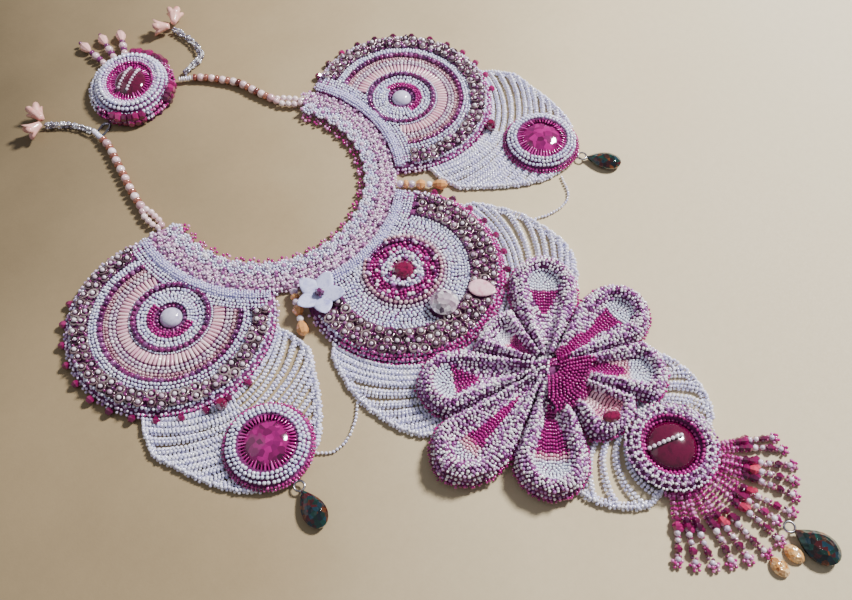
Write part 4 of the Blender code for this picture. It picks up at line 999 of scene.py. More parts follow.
def lace_rows(side):
    """Two rows of thread loops round the edge of a fan."""
    lace = []
    for k in range(LACE_LOOPS):
        angle = 360.0 * k / LACE_LOOPS
        for out, size, height in ((46.0, 1.7, 1.9), (44.9, 1.6, 3.4)):
            lace.append(row([spot(FANS[side], out + reach, angle + swing, height - 0.3 * reach)
                             for reach, swing in LACE_LOOP], size))
    return cut_rows(lace, on_fan(side, LACE_EDGE))


print("lace loops on a fan:", LACE_LOOPS)

# %% [markdown]
# The outer belt is metal cups with a pearl in each, set close and never quite level.
# Sines of the count tip and shift them, which looks like handwork and gives the same
# places on every run. Small dark pearls fill the gaps, and crystals stand at the edge.

# %% Place the cups and crystals
CUP_PITCH, CRYSTAL_PITCH = 4.6, 11.7
SIDE_BELTS = ((38.1, 0.0, 1.1), (41.7, 3.0, 0.9))
CENTRE_BELTS = ((33.3, 0.0, 1.0), (37.4, 3.0, 1.1), (41.4, 0.0, 0.9))
EDGE_CRYSTALS = {"left": (118.0, 268.0), "right": (-42.0, 118.0), "centre": (-62.0, 20.0)}


def cup_places(side):
    """Places of the cups, of the pearls in them and of those between them."""
    belt = []
    for radius, first, lift in (CENTRE_BELTS if side == "centre" else SIDE_BELTS):
        belt += fan_places(side, radius, CUP_PITCH, 1.0, first, lift)
    cups, between = [], []
    for k, (point, turn, width) in enumerate(belt):
        nudge = Vector((0.45 * math.sin(k * 2.9), 0.45 * math.cos(k * 4.7), 0.25 * math.sin(k * 1.7))) * MM
        tipped = (9.0 * math.sin(k * 3.1), 9.0 * math.cos(k * 2.3), turn[2])
        cups.append((point + nudge, tipped, width))
        beside = Vector((2.2 * MM * math.cos(k * 1.9), 2.2 * MM * math.sin(k * 1.9), 0.2 * MM))
        between.append((point + beside, turn, 1.7))
    inside = [(point + Vector((0, 0, 0.7 * MM)), turn, 2.0) for point, turn, width in cups]
    return cups, inside, between


def crystal_places(side):
    first, last = EDGE_CRYSTALS[side]
    count = int((last - first) / CRYSTAL_PITCH)
    angles = [first + (last - first) * k / count for k in range(count + 1)]
    places = [(spot(FANS[side], 47.9, angle, 2.0), (0, 90, angle), 3.9) for angle in angles]
    return [place for place in places if away(place[0], THROAT, CRYSTAL_EDGE)]


print("edge crystals:", {side: len(crystal_places(side)) for side in FANS})

# %% Bead the three fans
ROW_LOTS = (("plum", plum_pearl, "fan_beads", {"sides": 8, "rings": 5, "wander": 0.05}),
            ("magenta", magenta_seed, "magenta_glass", {"wander": 0.1}),
            ("lilac", white_seed, "seed_lilac", {"wander": 0.12}),
            ("cream", cream_pearl, "seed_lilac", {}),
            ("peach", rosy_pearl, "peach_pearl", {}),
            ("dark", dark_seed, "fan_beads", {"rings": 3}),
            ("lace", lilac_seed, "seed_lilac", {"wander": 0.14, "rings": 3}))
SET_LOTS = (("cups", cup_ring, bronze_cup, "silver", 0.14),
            ("cup_pearls", pearl, bright_pearl, "seed_lilac", 0.2),
            ("small_pearls", pearl, plum_pearl, "fan_beads", 0.2))
FAN_PIECES = []
for number, side in enumerate(FANS):
    seed = 20 + 10 * number
    beads = fan_rows(side)
    beads["lace"] = lace_rows(side)
    for offset, (colour, finish, slot, options) in enumerate(ROW_LOTS):
        FAN_PIECES.append((bead_rows("fan_%s_%s" % (colour, side), beads[colour], finish,
                                     seed=seed + offset, **options), slot))
    for offset, (lot, places) in enumerate(zip(SET_LOTS, cup_places(side))):
        kind, shape, finish, slot, jitter = lot
        FAN_PIECES.append((set_copies("fan_%s_%s" % (kind, side), shape, places, finish, jitter=jitter,
                                      seed=seed + 8 + offset), slot))
    FAN_PIECES += [
        (satin_ribbon("fan_ribbon_" + side, side, 62.5, 67.3, 5.0), "seed_lilac"),
        (bead_rows("fan_ribbon_seeds_" + side, ribbon_rows(side), ribbon_seed, spacing=1.0, wander=0.16,
                   rings=3, seed=seed + 12), "seed_lilac"),
        (set_copies("fan_edge_crystals_" + side, cut_bead, crystal_places(side), red_crystal,
                    seed=seed + 13), "magenta_glass"),
    ]
    if side == "centre":
        speckles = []
        for k in range(64):
            out = 11.0 + 5.4 * math.sin(k * 1.7)
            point = spot(FANS[side], out, 137.5 * k, fan_height(out, 1.9) + 1.0)
            if away(point, THROAT, RIBBON_EDGE + 1.0):
                speckles.append((point, (0, 0, 0), 1.9))
        FAN_PIECES.append((set_copies("fan_speckles_centre", pearl, speckles, rim_seed, jitter=0.15,
                                      seed=57), "seed_lilac"))
    else:
        bugles = fan_places(side, 21.2, 1.75, 1.0, lift=0.7)
        FAN_PIECES.append((set_copies("fan_bugles_" + side, bugle, bugles, rose_seed, seed=seed + 7),
                           "magenta_glass"))
print("fan pieces:", len(FAN_PIECES))

# %% [markdown]
# ## The nets
#
# Below the fans hang nets of white seeds. Each wing is ruled like a leaf: cords leave
# a stem, spread out and end on a rim. A full cord is five threads, three below and
# two on top. Wings that turn anticlockwise from their stem have cords of three, with
# gaps to see through. The rim is four rows, one of them on top. The rule repeats the
# one in the CAD source, so the beads lie over the CAD strands.

# %% Rule the nets
SIDE_LEAF = ((1.00, 0.00), (0.96, 0.13), (0.82, 0.36), (0.64, 0.48), (0.46, 0.66), (0.27, 0.86),
             (0.12, 0.96), (0.00, 1.00))
CENTRE_LEAF = ((1.00, 0.00), (0.95, 0.18), (0.85, 0.32), (0.69, 0.60), (0.57, 0.78), (0.49, 0.92),
               (0.41, 1.00), (0.28, 1.00), (0.12, 0.94), (0.00, 0.86))
PENDANT_LEAF = ((1.00, 0.00), (0.98, 0.24), (0.90, 0.42), (0.72, 0.60), (0.59, 0.75), (0.45, 0.90),
                (0.34, 1.00), (0.22, 1.00), (0.10, 0.93), (0.00, 0.82))
CORD = ((0.02, 1.8, 1.0), (0.30, 1.8, 1.0), (0.58, 1.7, 1.0), (0.16, 1.6, 2.0), (0.44, 1.6, 2.0))
OPEN_CORD = ((0.04, 1.8, 1.0), (0.34, 1.8, 1.0), (0.19, 1.7, 2.0))
NET_RIM = ((0.5, 1.8, 1.0), (2.1, 1.8, 1.0), (1.3, 1.7, 2.0), (3.6, 1.5, 0.95))


def net_wings():
    """The eight wings: name, middle, start radius, stem, spread, reach, rim, cords, last."""
    wings = []
    for side, spread in (("left", 46.0), ("right", 49.0)):
        for direction in (1, -1):
            wings.append(("side_" + side, FANS[side], 46.5, SIDE_STEMS[side], direction * spread, 48.5,
                          SIDE_LEAF, 13, 0.80))
    for side, sign in SIDES.items():
        tip = 2.0 if side == "right" else 178.0
        wings.append(("centre_" + side, FANS["centre"], 46.5, tip - sign * 80.0, sign * 80.0, 34.0,
                      CENTRE_LEAF, 11, 0.72))
        stem = 74.0 if side == "right" else 106.0
        spread, reach = (102.0, 28.0) if side == "right" else (96.0, 31.0)
        wings.append(("pendant_" + side, PENDANT, 11.0, stem, -sign * spread, reach + 7.0,
                      PENDANT_LEAF, 8, 0.88))
    return wings


def rim_at(wing, share):
    """The angle and radius of a wing's rim at a share of its length."""
    name, centre, start, stem, spread, reach, rim, cords, last = wing
    place = share * (len(rim) - 1)
    index = min(int(place), len(rim) - 2)
    part = place - index
    turn = rim[index][0] * (1 - part) + rim[index + 1][0] * part
    out = rim[index][1] * (1 - part) + rim[index + 1][1] * part
    return stem + spread * turn, start + reach * out


print("net wings:", len(net_wings()))

# %% Thread the nets
def net_rows(wing):
    """All threads of one wing: its cords, its rim and the row along the round part."""
    name, centre, start, stem, spread, reach, rim, cords, last = wing
    stem_reach = rim[-1][1] * reach
    rows = []
    for k in range(cords):
        for part, width, height in (OPEN_CORD if spread > 0 else CORD):
            share = (k + part) / cords
            angle, radius = rim_at(wing, share * last)
            root = start + 1.6 + (stem_reach - 1.6) * share * 0.9
            line = []
            for step in range(13):
                way = step / 12
                out = max(root + (radius - 1.2 - root) * way, start + 0.8)
                sway = 0.35 * math.sin(k * 2.3 + 5.0 * way + start)
                line.append(spot(centre, out, stem + (angle - stem) * way + sway, height))
            if (line[0] - line[-1]).length > 3 * MM:
                rows.append(row(line, width))
    for inset, width, height in NET_RIM:
        line = []
        for k in range(81):
            angle, radius = rim_at(wing, k / 80)
            wave = 0.45 * math.sin(k * 1.5) if inset < 2 else 0.0
            line.append(spot(centre, max(radius - inset + wave, start + 0.6), angle, height))
        rows.append(row(line, width))
    rows.append(row(arc(centre, start + 0.8, stem, stem + spread, 0.8), 1.5))
    return rows


threads = {}
for wing in net_wings():
    threads.setdefault(wing[0], []).extend(net_rows(wing))
NETS = {name: bead_rows("net_beads_" + name, rows, blue_seed, spacing=0.98, wander=0.07, rings=3,
                        seed=60 + number) for number, (name, rows) in enumerate(threads.items())}
print("nets:", {name: len(rows) for name, rows in threads.items()})

# %% [markdown]
# ## The medallions
#
# A medallion is a domed stone in a wreath. The two side stones are glass over crumpled
# foil, with short spikes leaning in over them and rings of seeds down the bezel. The
# pendant's stone is crimson, with small loops of seeds round it and a row of pearls
# across it. A dome is a half circle on a thin girdle, so one section turned on a lathe
# makes all of them.

# %% Turn a domed stone
BEZEL = ((0.0, 2.0), (10.8, 2.0), (12.1, 5.0), (15.3, 4.2), (18.0, 1.7), (20.0, 0.4))
BEZEL_BASE = 1.9
GIRDLE = 0.14
STONE_BASE, STONE_RADIUS, STONE_HEIGHT = 4.2, 10.4, 4.8


def dome(name, centre, base, radius, height, finish, squash=1.0, turn=0.0, rough=0.0):
    """A closed domed stone with a rounded girdle, dented by noise where rough isn't zero."""
    section = [(0.0, 0.0), (radius * 0.93, 0.0), (radius, height * GIRDLE)]
    for k in range(1, 10):
        angle = math.pi / 2 * k / 10
        section.append((radius * math.cos(angle), height * (GIRDLE + (1 - GIRDLE) * math.sin(angle))))
    section.append((0.0, height))
    item = lathe(name, section, 40, True, squash)
    for vertex in item.data.vertices:
        if vertex.co.z > height * 0.2 * MM:
            vertex.co.z += rough * MM * noise.noise(vertex.co * 420.0 + Vector((radius, height, 0)))
    item.data.transform(Matrix.Translation((centre.x, centre.y, base * MM))
                        @ Matrix.Rotation(math.radians(turn), 4, "Z"))
    item.data.materials.append(finish)
    return item


def over_dome(base, radius, height, distance):
    """The height of a bead that lies on a dome at some distance from its middle."""
    return base + height * (GIRDLE + (1 - GIRDLE) * math.sqrt(max(0.0, 1 - (distance / radius) ** 2))) + 0.7


def bezel_row(centre, radius, width):
    height = BEZEL_BASE + blend(BEZEL, radius) + 0.3 * width
    return row(circle(centre, radius, height), width, closed=True)


print("bezel height:", max(height for radius, height in BEZEL) + BEZEL_BASE)

# %% Set the medallions
PENDANT_LOOPS, SPIKES = 34, 46
MEDALLION_PIECES = []
for number, (side, centre) in enumerate(MEDALLIONS.items()):
    pendant = side == "pendant"
    stone = dome("stone_" + side, centre, STONE_BASE, STONE_RADIUS, STONE_HEIGHT,
                 crimson if pendant else foil_magenta, rough=0.0 if pendant else 0.35)
    if pendant:
        edge = [bezel_row(centre, radius, 1.7) for radius in (11.2, 12.6)]
        wreath = []
        for k in range(PENDANT_LOOPS):
            angle = 360.0 * k / PENDANT_LOOPS
            for out, height in ((15.2, 6.2), (17.4, 4.4)):
                loop = spot(centre, out, angle, BEZEL_BASE + height)
                wreath.append(row(circle(loop, 1.7, 1000 * loop.z, steps=8), 1.3, closed=True))
    else:
        wreath = [bezel_row(centre, radius, 1.8) for radius in (13.4, 15.0, 16.6)]
        edge = [row(circle(centre, 18.1, BEZEL_BASE + 1.5), 1.5, closed=True),
                row(circle(centre, 18.9, BEZEL_BASE + 0.5), 1.4, closed=True)]
    MEDALLION_PIECES += [
        (stone, "magenta_glass", "medallion_stone_" + side),
        (bead_rows("medallion_seeds_" + side, wreath, rim_seed if pendant else white_seed, wander=0.1,
                   seed=80 + number), "seed_lilac", None),
        (bead_rows("medallion_edge_" + side, edge, magenta_seed, seed=84 + number), "magenta_glass", None),
    ]
    if not pendant:
        spikes = []
        for k in range(SPIKES):
            angle = 360.0 * k / SPIKES
            spikes.append((spot(centre, 11.3, angle, BEZEL_BASE + 4.7), (0, -24, angle + 180), 2.8))
        MEDALLION_PIECES.append((set_copies("medallion_spikes_" + side, spike, spikes, magenta_seed,
                                            jitter=0.25, seed=88 + number), "magenta_glass", None))
start, end = Vector((-7.4, -132.4)), Vector((4.6, -139.8))
pearl_line = []
for k in range(8):
    way = start.lerp(end, k / 7)
    point = FANS["centre"] + Vector((way.x * MM, way.y * MM, 0))
    distance = 1000 * math.hypot(point.x - PENDANT.x, point.y - PENDANT.y)
    point.z = MM * over_dome(STONE_BASE, STONE_RADIUS, STONE_HEIGHT, min(distance, 9.0))
    pearl_line.append((point, (0, 0, 0), 1.9))
MEDALLION_PIECES.append((set_copies("pendant_pearls", pearl, pearl_line, bright_pearl, seed=92),
                         "seed_lilac", None))
print("medallion pieces:", len(MEDALLION_PIECES))

# %% [markdown]
# ## The flower
#
# Eight puffed petals have thick rolled rims of mixed pale and plum seeds, the darkest
# plum ones partly painted shade for the gaps between the rim beads. Between the
# rims a trough opens, magenta near the heart and white or pale blue at the tip, and a
# flat magenta field lies over the petals below the heart. One rule gives a point of a
# petal from how far it is along and how far in. Threads follow the petal's edge, and
# each is cut where it passes from rim to trough, so that every part gets its own lot.

# %% Rules for the petals
PETALS = (("petal_1", 89.0, 33.0), ("petal_2", 36.0, 57.0), ("petal_3", -13.0, 57.5),
          ("petal_4", -55.0, 51.5), ("petal_5", -89.0, 40.4), ("petal_6", -144.0, 56.5),
          ("petal_7", -187.0, 66.0), ("petal_8", -223.0, 56.0))
PETAL_OUTLINE = ((0.00, 0.34), (0.22, 0.62), (0.42, 0.85), (0.60, 0.98), (0.76, 0.97), (0.89, 0.74),
                 (0.97, 0.38), (1.00, 0.0))
PETAL_SECTION = ((0.00, 0.00), (0.13, 0.72), (0.34, 1.00), (0.60, 0.42), (1.00, 0.24))
PETAL_BASE, PETAL_EDGE, PETAL_CREST, PETAL_HALF, SPINE_END, HEART = 1.9, 0.6, 8.5, 15.5, 0.70, 6.2


def petal_side(index, sign):
    """Half the angle to the neighbouring petal."""
    other = PETALS[(index + 1) % 8] if sign < 0 else PETALS[index - 1]
    return abs((other[1] - PETALS[index][1] + 180.0) % 360.0 - 180.0) / 2


def petal_point(index, along, sign, inward, lift=0.0):
    """A point on a petal's surface: along from heart to tip, inward from edge to spine."""
    name, direction, reach = PETALS[index]
    length = reach - HEART - 0.6
    free = (HEART + 0.3 + along * length) * math.tan(math.radians(petal_side(index, sign))) - 0.3
    half = min(PETAL_HALF * blend(PETAL_OUTLINE, along), free)
    spine = min(along, SPINE_END)
    out = HEART + 0.6 + (along + (spine - along) * inward) * length
    across = sign * half * (1 - inward)
    height = PETAL_BASE + PETAL_EDGE + (PETAL_CREST - PETAL_EDGE) * blend(PETAL_SECTION, inward) + lift
    turn = math.radians(direction)
    return Vector((FLOWER.x + (out * math.cos(turn) - across * math.sin(turn)) * MM,
                   FLOWER.y + (out * math.sin(turn) + across * math.cos(turn)) * MM, height * MM))


def petal_line(index, inward, first=0.0):
    """One thread round a petal, from one side of its base to the other, and each point's place."""
    line, places = [], []
    steps = [first + (1.0 - first) * k / 34 for k in range(35)]
    for sign, ways in ((1, steps), (-1, steps[-2::-1])):
        for along in ways:
            line.append(petal_point(index, along, sign, inward, 0.4))
            places.append(along + (min(along, SPINE_END) - along) * inward)
    return line, places


print("petals:", len(PETALS))

# %% Open the troughs and lay the flat field
# A stretch of a trough: from, to, shade, and how far in it opens where it starts and ends.
TROUGHS = {
    "petal_1": ((0.10, 0.50, 0.06, 0.72, 0.50), (0.50, 0.80, 0.80, 0.60, 0.80)),
    "petal_2": ((0.40, 0.64, 0.06, 0.86, 0.56), (0.64, 0.95, 0.95, 0.56, 0.44)),
    "petal_3": ((0.00, 0.12, 0.04, 0.00, 0.50), (0.12, 0.34, 0.04, 0.50, 0.66),
                (0.34, 0.66, 0.06, 0.84, 0.66), (0.66, 0.95, 0.95, 0.60, 0.44)),
    "petal_4": ((0.00, 0.30, 0.03, 0.00, 0.40), (0.30, 0.60, 0.06, 0.50, 0.88),
                (0.44, 0.64, 0.42, 0.56, 0.56), (0.64, 0.95, 0.95, 0.58, 0.46)),
    "petal_5": ((0.00, 0.22, 0.04, 0.00, 0.40), (0.22, 0.40, 0.04, 0.40, 0.56),
                (0.40, 0.58, 0.50, 0.58, 0.52), (0.58, 0.90, 0.38, 0.52, 0.48)),
    "petal_6": ((0.14, 0.62, 0.05, 0.96, 0.50), (0.62, 0.68, 0.42, 0.52, 0.50),
                (0.68, 0.95, 0.95, 0.50, 0.44)),
    "petal_7": ((0.18, 0.66, 0.05, 0.88, 0.74), (0.66, 0.74, 0.42, 0.78, 0.64),
                (0.74, 0.95, 0.90, 0.64, 0.52)),
    "petal_8": ((0.46, 0.68, 0.05, 0.90, 0.52), (0.68, 0.98, 0.97, 0.50, 0.38)),
}
FIELD_REACH = ((-144.0, 15.0), (-136.0, 19.5), (-98.0, 19.5), (-88.0, 16.0), (-62.0, 16.0), (-44.0, 19.0))
FIELD_HEIGHT = ((5.0, 9.6), (9.0, 11.1), (18.0, 11.1), (20.5, 10.3))


def trough_shade(name, place, inward):
    """The shade of an open trough at a place, or None where the rolled rims hide it."""
    for first, last, shade, near, far in TROUGHS[name]:
        if first <= place <= last and inward >= near + (far - near) * (place - first) / (last - first):
            return shade
    return None


def field_reach(point):
    """How far the flat magenta field goes from the heart in a point's direction."""
    return blend(FIELD_REACH, bearing(FLOWER, point))


def on_field(point):
    """True where the flat field covers the petals."""
    inside = FIELD_REACH[0][0] < bearing(FLOWER, point) < FIELD_REACH[-1][0]
    return inside and not away(point, FLOWER, field_reach(point))


def share_out(line, shades, width, open_rows, closed_rows):
    """Cut a thread where it changes between the open trough, the rolled rim and the field."""
    kinds = ["field" if on_field(point) else "rim" if shade is None else "trough"
             for point, shade in zip(line, shades)]
    first = 0
    for k in range(1, len(line) + 1):
        if k == len(line) or kinds[k] != kinds[first]:
            if k - first > 1:
                if kinds[first] == "rim":
                    closed_rows.append(row(line[first:k], width))
                elif kinds[first] == "trough":
                    open_rows.append(row(line[first:k], width, shades[first:k]))
            first = k


print("troughs:", sum(len(stretches) for stretches in TROUGHS.values()))

# %% Bead the petals
PETAL_ROWS = (0.03, 0.08, 0.13, 0.18, 0.24, 0.30, 0.36, 0.42, 0.48, 0.54, 0.61, 0.68, 0.76, 0.84, 0.92,
              0.99)
FLOWER_PIECES = []
for index, (name, direction, reach) in enumerate(PETALS):
    rims, trough = [], []
    for number, inward in enumerate(PETAL_ROWS):
        line, places = petal_line(index, inward, 0.2 if number % 2 else 0.0)
        share_out(line, [trough_shade(name, place, inward) for place in places], 1.42, trough, rims)
    edge = [row(petal_line(index, 0.0, 0.2)[0], 1.6), row(petal_line(index, -0.04, 0.3)[0], 1.4)]
    FLOWER_PIECES += [
        (bead_rows("rim_" + name, rims, rim_seed, spacing=1.24, wander=0.2, jitter=0.2, seed=100 + index),
         "seed_lilac"),
        (bead_rows("trough_" + name, trough, petal_seed, spacing=1.04, wander=0.04, jitter=0.05,
                   seed=110 + index), "magenta_glass"),
        (bead_rows("edge_" + name, edge, magenta_seed, spacing=1.1, wander=0.3, rings=3,
                   seed=120 + index), "magenta_glass"),
    ]
print("flower pieces:", len(FLOWER_PIECES))

# %% Bead the heart
HEART_RINGS = ((0.5, 6.9), (1.9, 6.8), (3.2, 6.4), (4.4, 5.6), (5.5, 4.4), (6.0, 2.8))
heart_open, heart_rims = [], []
for k in range(16):
    radius = 5.4 + 1.27 * k
    line = arc(FLOWER, radius, FIELD_REACH[0][0] - 2.0, FIELD_REACH[-1][0] + 2.0,
               blend(FIELD_HEIGHT, radius), 80)
    heart_open += cut_rows([row(line, 1.5, 0.05)],
                           lambda point: not away(point, FLOWER, 1.0 + field_reach(point)))
for drop in range(5):
    heart_open.append(row(arc(FLOWER, 20.4, -137.0, -97.0, 9.6 - 1.25 * drop), 1.5, 0.05))
    heart_open.append(row(arc(FLOWER, 16.8, -90.0, -60.0, 9.8 - 1.25 * drop), 1.5, 0.05))
for radius, height in HEART_RINGS:
    line = circle(FLOWER, radius, PETAL_BASE + height, steps=48)
    shades = [0.04 if (k * 7.5 - 215.0) % 360.0 < 165.0 else None for k in range(48)]
    share_out(line, shades, 1.5, heart_open, heart_rims)
FLOWER_PIECES += [(bead_rows("beads_heart", heart_open, petal_seed, seed=130), "magenta_glass"),
                  (bead_rows("rim_heart", heart_rims, rim_seed, wander=0.2, seed=131), "seed_lilac")]
print("heart rows:", len(heart_open), len(heart_rims))

# %% [markdown]
# ## The fringe
#
# Fourteen strands fan out from under the pendant. Each begins as three threads of
# magenta seeds, runs on in rose and brown ones with cut crystals and pearls between
# them, and ends in a small cluster. A strand is a slightly bent spoke of the pendant,
# so each bead's place is a share of the strand's length. Two amber leaf beads and the
# large drop lie among the middle strands.

# %% Rule a strand
FRINGE = ((0.000, 0.78), (0.065, 0.86), (0.135, 0.95), (0.205, 0.97), (0.275, 1.00), (0.345, 1.02),
          (0.415, 0.90), (0.485, 1.06), (0.560, 1.04), (0.640, 0.98), (0.715, 0.93), (0.790, 0.90),
          (0.870, 0.86), (0.950, 0.82))
FRINGE_START, FRINGE_LENGTH, FRINGE_FIRST, FRINGE_SWEEP = 20.1, 33.0, -46.0, 106.0


def strand_angle(number):
    return FRINGE_FIRST - FRINGE_SWEEP * FRINGE[number][0]


def strand(number, a, b, height=1.0, swing=0.0, steps=8):
    """Points of a fringe strand between two shares of its length."""
    length = FRINGE_LENGTH * FRINGE[number][1]
    bend = 1.4 * math.sin(number * 2.1)
    places = [a + (b - a) * k / steps for k in range(steps + 1)]
    return [spot(PENDANT, FRINGE_START + length * place,
                 strand_angle(number) + swing + bend * math.sin(math.pi * place), height)
            for place in places]


def on_strand(number, share, height, size, tilt=0, swing=0.0):
    """The place of one bead that is set on a strand."""
    return strand(number, share, share, height, swing)[0], (0, tilt, strand_angle(number)), size


print("fringe strands:", len(FRINGE))

# %% String the fringe
TIP_CLUSTER = ((-2.4, -0.5), (0.0, 0.6), (2.4, -0.5), (-1.2, 0.2), (1.2, 0.2))
seeds, browns, pearls, crystals, corals = [], [], [], [], []
for number, (across, share) in enumerate(FRINGE):
    for swing, height in ((-1.9, 1.2), (1.9, 1.2), (0.0, 2.1)):
        seeds.append(row(strand(number, -0.05, 0.36 + 0.05 * math.sin(number * 1.3), height, swing), 1.7))
    browns.append(row(strand(number, 0.34, 0.97, 1.2, -0.7, 16), 1.8))
    browns.append(row(strand(number, 0.50, 0.92, 1.2, 1.2, 16), 1.7))
    pick = corals if 3 <= number <= 9 and number % 2 else crystals
    pick.append(on_strand(number, 0.43, 2.15, 4.0, 90))
    crystals.append(on_strand(number, 0.755, 1.9, 3.4, 90))
    crystals.append(on_strand(number, 0.34, 2.2, 3.2, 90))
    pick.append(on_strand(number, 0.475, 2.2, 2.6, 90, 2.0))
    pearls += [on_strand(number, 0.525, 1.7, 2.9), on_strand(number, 0.635, 2.0, 2.3),
               on_strand(number, 0.90, 1.6, 2.6)]
    angle = strand_angle(number)
    tip = FRINGE_START + FRINGE_LENGTH * share * 0.955
    for swing, out in TIP_CLUSTER:
        seeds.append(row([spot(PENDANT, tip + out - 0.3, angle + swing, 1.3 + 0.7 * (abs(swing) == 1.2)),
                          spot(PENDANT, tip + out + 1.1, angle + swing, 1.1)], 1.6))
for radius in (18.7, 19.9):
    seeds.append(row(arc(PENDANT, radius, -43, -155, 1.8), 1.6))
FRINGE_PIECES = (
    (bead_rows("fringe_seeds", seeds, fringe_seed, spacing=1.0, wander=0.1, seed=120), "magenta_glass",
     "fringe"),
    (bead_rows("fringe_dark", browns, rose_brown_seed, seed=121), "fringe_beads", None),
    (set_copies("fringe_pearls", pearl, pearls, cream_pearl, seed=122), "seed_lilac", None),
    (set_copies("fringe_crystals", cut_bead, crystals, red_crystal, seed=123), "fringe_beads", None),
    (set_copies("fringe_coral", cut_bead, corals, coral_crystal, seed=124), "magenta_glass", None),
)
print("fringe rows:", len(seeds) + len(browns))

# %% [markdown]
# ## Neck strings, tails and links
#
# Peach pearls and copper discs alternate on the two neck strings. Each starts in a
# sleeve of thin pale discs and ends in doubled pearls at the collar. Beads that differ
# in kind and pitch are easier to count off along a measured line than to grow in a
# tree, so a smooth curve is drawn through a few points and walked along.

# %% Walk along a curve
def smooth_curve(points, samples=24):
    """A dense smooth line through a few points."""
    knots = [Vector(point) for point in points]
    knots = [2 * knots[0] - knots[1]] + knots + [2 * knots[-1] - knots[-2]]
    fine = []
    for i in range(1, len(knots) - 2):
        before, start, end, after = knots[i - 1:i + 3]
        for k in range(samples):
            t = k / samples
            fine.append(0.5 * (2 * start + (end - before) * t
                               + (2 * before - 5 * start + 4 * end - after) * t ** 2
                               + (3 * start - before - 3 * end + after) * t ** 3))
    return fine + [knots[-2]]


def walk(line, place):
    """The point and heading at a distance along a line."""
    for a, b in zip(line, line[1:]):
        span = (b - a).length
        if place <= span or b is line[-1]:
            way = (b - a).normalized()
            return a + way * place, math.degrees(math.atan2(way.y, way.x))
        place -= span


def from_throat(points, height):
    return [Vector((THROAT.x + x * MM, THROAT.y + y * MM, height * MM)) for x, y in points]


print("curve points:", len(smooth_curve(from_throat(((0, 0), (1, 0), (2, 1)), 0))))

# %% Thread the neck strings
STRING_ROUTES = {
    "right": ((22.2, 84.8), (29.6, 77.3), (35.0, 67.9), (39.4, 57.5), (40.6, 45.5), (43.0, 33.5),
              (50.6, 21.2)),
    "left": ((-30.0, 93.0), (-31.5, 81.1), (-35.6, 70.6), (-40.3, 59.0), (-44.6, 48.6), (-48.6, 35.5),
             (-50.6, 21.2)),
}
SLEEVE, DOUBLED, PEARL_PITCH, PAIR_PITCH = 8.0, 15.5, 6.3, 3.2
STRING_PIECES = []
for number, side in enumerate(SIDES):
    line = smooth_curve(from_throat(STRING_ROUTES[side], 2.5))
    total = sum((b - a).length for a, b in zip(line, line[1:])) / MM
    sleeve = [walk(line, SLEEVE * MM * k / 8)[0] for k in range(9)]
    middle = total - SLEEVE - DOUBLED
    count = round(middle / PEARL_PITCH)
    pearls, discs = [], []
    for k in range(count):
        point, heading = walk(line, (SLEEVE + middle * (k + 0.5) / count) * MM)
        pearls.append((point, (0, 90, heading), 4.3))
        point, heading = walk(line, (SLEEVE + middle * k / count) * MM)
        discs.append((point, (0, 90, heading), 2.1))
    for k in range(5):
        point, heading = walk(line, (total - DOUBLED + PAIR_PITCH * k + 0.5) * MM)
        across = spot(ORIGIN, 1.9 - 0.9 * (k in (0, 4)), heading + 90.0)
        pearls += [(point + way * across, (0, 90, heading), 3.3) for way in (-1, 1)]
    STRING_PIECES += [
        (set_copies("string_pearls_" + side, big_pearl, pearls, peach_pearl, seed=130 + number),
         "peach_pearl", "neck_string_" + side),
        (set_copies("string_discs_" + side, rondelle, discs, copper_bead, seed=132 + number), "silver",
         None),
        (bead_rows("string_sleeve_" + side, [row(sleeve, 3.0)], blue_seed, spacing=0.36, length=0.34,
                   sides=10, rings=5, seed=134 + number), "net_white", None),
    ]
    print("neck string", side, round(total, 1), "mm")

# %% [markdown]
# The tails are ropes of silver beads. Four threads wind round one line, a quarter turn
# apart. The links are single threads of pale seeds that lie on the surface.

# %% Wind the tails and thread the links
TAIL_ROUTES = {
    "right": ((27.5, 86.5), (34.5, 87.0), (41.2, 88.5), (45.0, 95.0), (46.8, 104.0), (46.9, 114.5)),
    "left": ((-30.5, 94.5), (-31.5, 100.0), (-34.5, 106.5), (-38.5, 111.5), (-42.0, 116.0)),
}
LINK_ROUTES = {
    "right": ((63.2, -115.0), (69.0, -118.5), (77.0, -121.0), (85.0, -119.5), (92.0, -111.0)),
    "left": ((-62.0, -108.5), (-69.0, -113.0), (-77.0, -115.5), (-84.5, -114.5), (-89.0, -110.0)),
}


def rope_rows(line):
    """Four threads that wind round a line."""
    rope = []
    for turn in range(4):
        twist = []
        for k, point in enumerate(line):
            near = line[min(k + 1, len(line) - 1)] - line[max(k - 1, 0)]
            across = Vector((-near.y, near.x, 0)).normalized()
            swing = k * 0.42 + turn * 1.571
            twist.append(point + across * math.cos(swing) * 1.15 * MM
                         + Vector((0, 0, math.sin(swing) * 1.0 * MM)))
        rope.append(row(twist, 1.5))
    return rope


for number, side in enumerate(SIDES):
    rope = rope_rows(smooth_curve(from_throat(TAIL_ROUTES[side], 2.05)))
    STRING_PIECES.append((bead_rows("tail_rope_" + side, rope, silver_bead, spacing=1.25, jitter=0.25,
                                    length=0.75, wander=0.2, sides=5, rings=4, seed=136 + number),
                          "silver", "tail_" + side))
    thread = [row(smooth_curve(from_throat(LINK_ROUTES[side], 0.85)), 1.5)]
    STRING_PIECES.append((bead_rows("link_beads_" + side, thread, blue_seed, seed=140), "net_white",
                          "link_" + side))
print("string pieces:", len(STRING_PIECES))

# %% [markdown]
# ## The rosette clasp
#
# An oval stone sits in a rim of seeds. A frill of loops runs round it, pale on one
# side and magenta on the other, with crimson crystals along parts of its edge. All
# its rows are ellipses, so one helper draws an ellipse, turned to the clasp's slant.

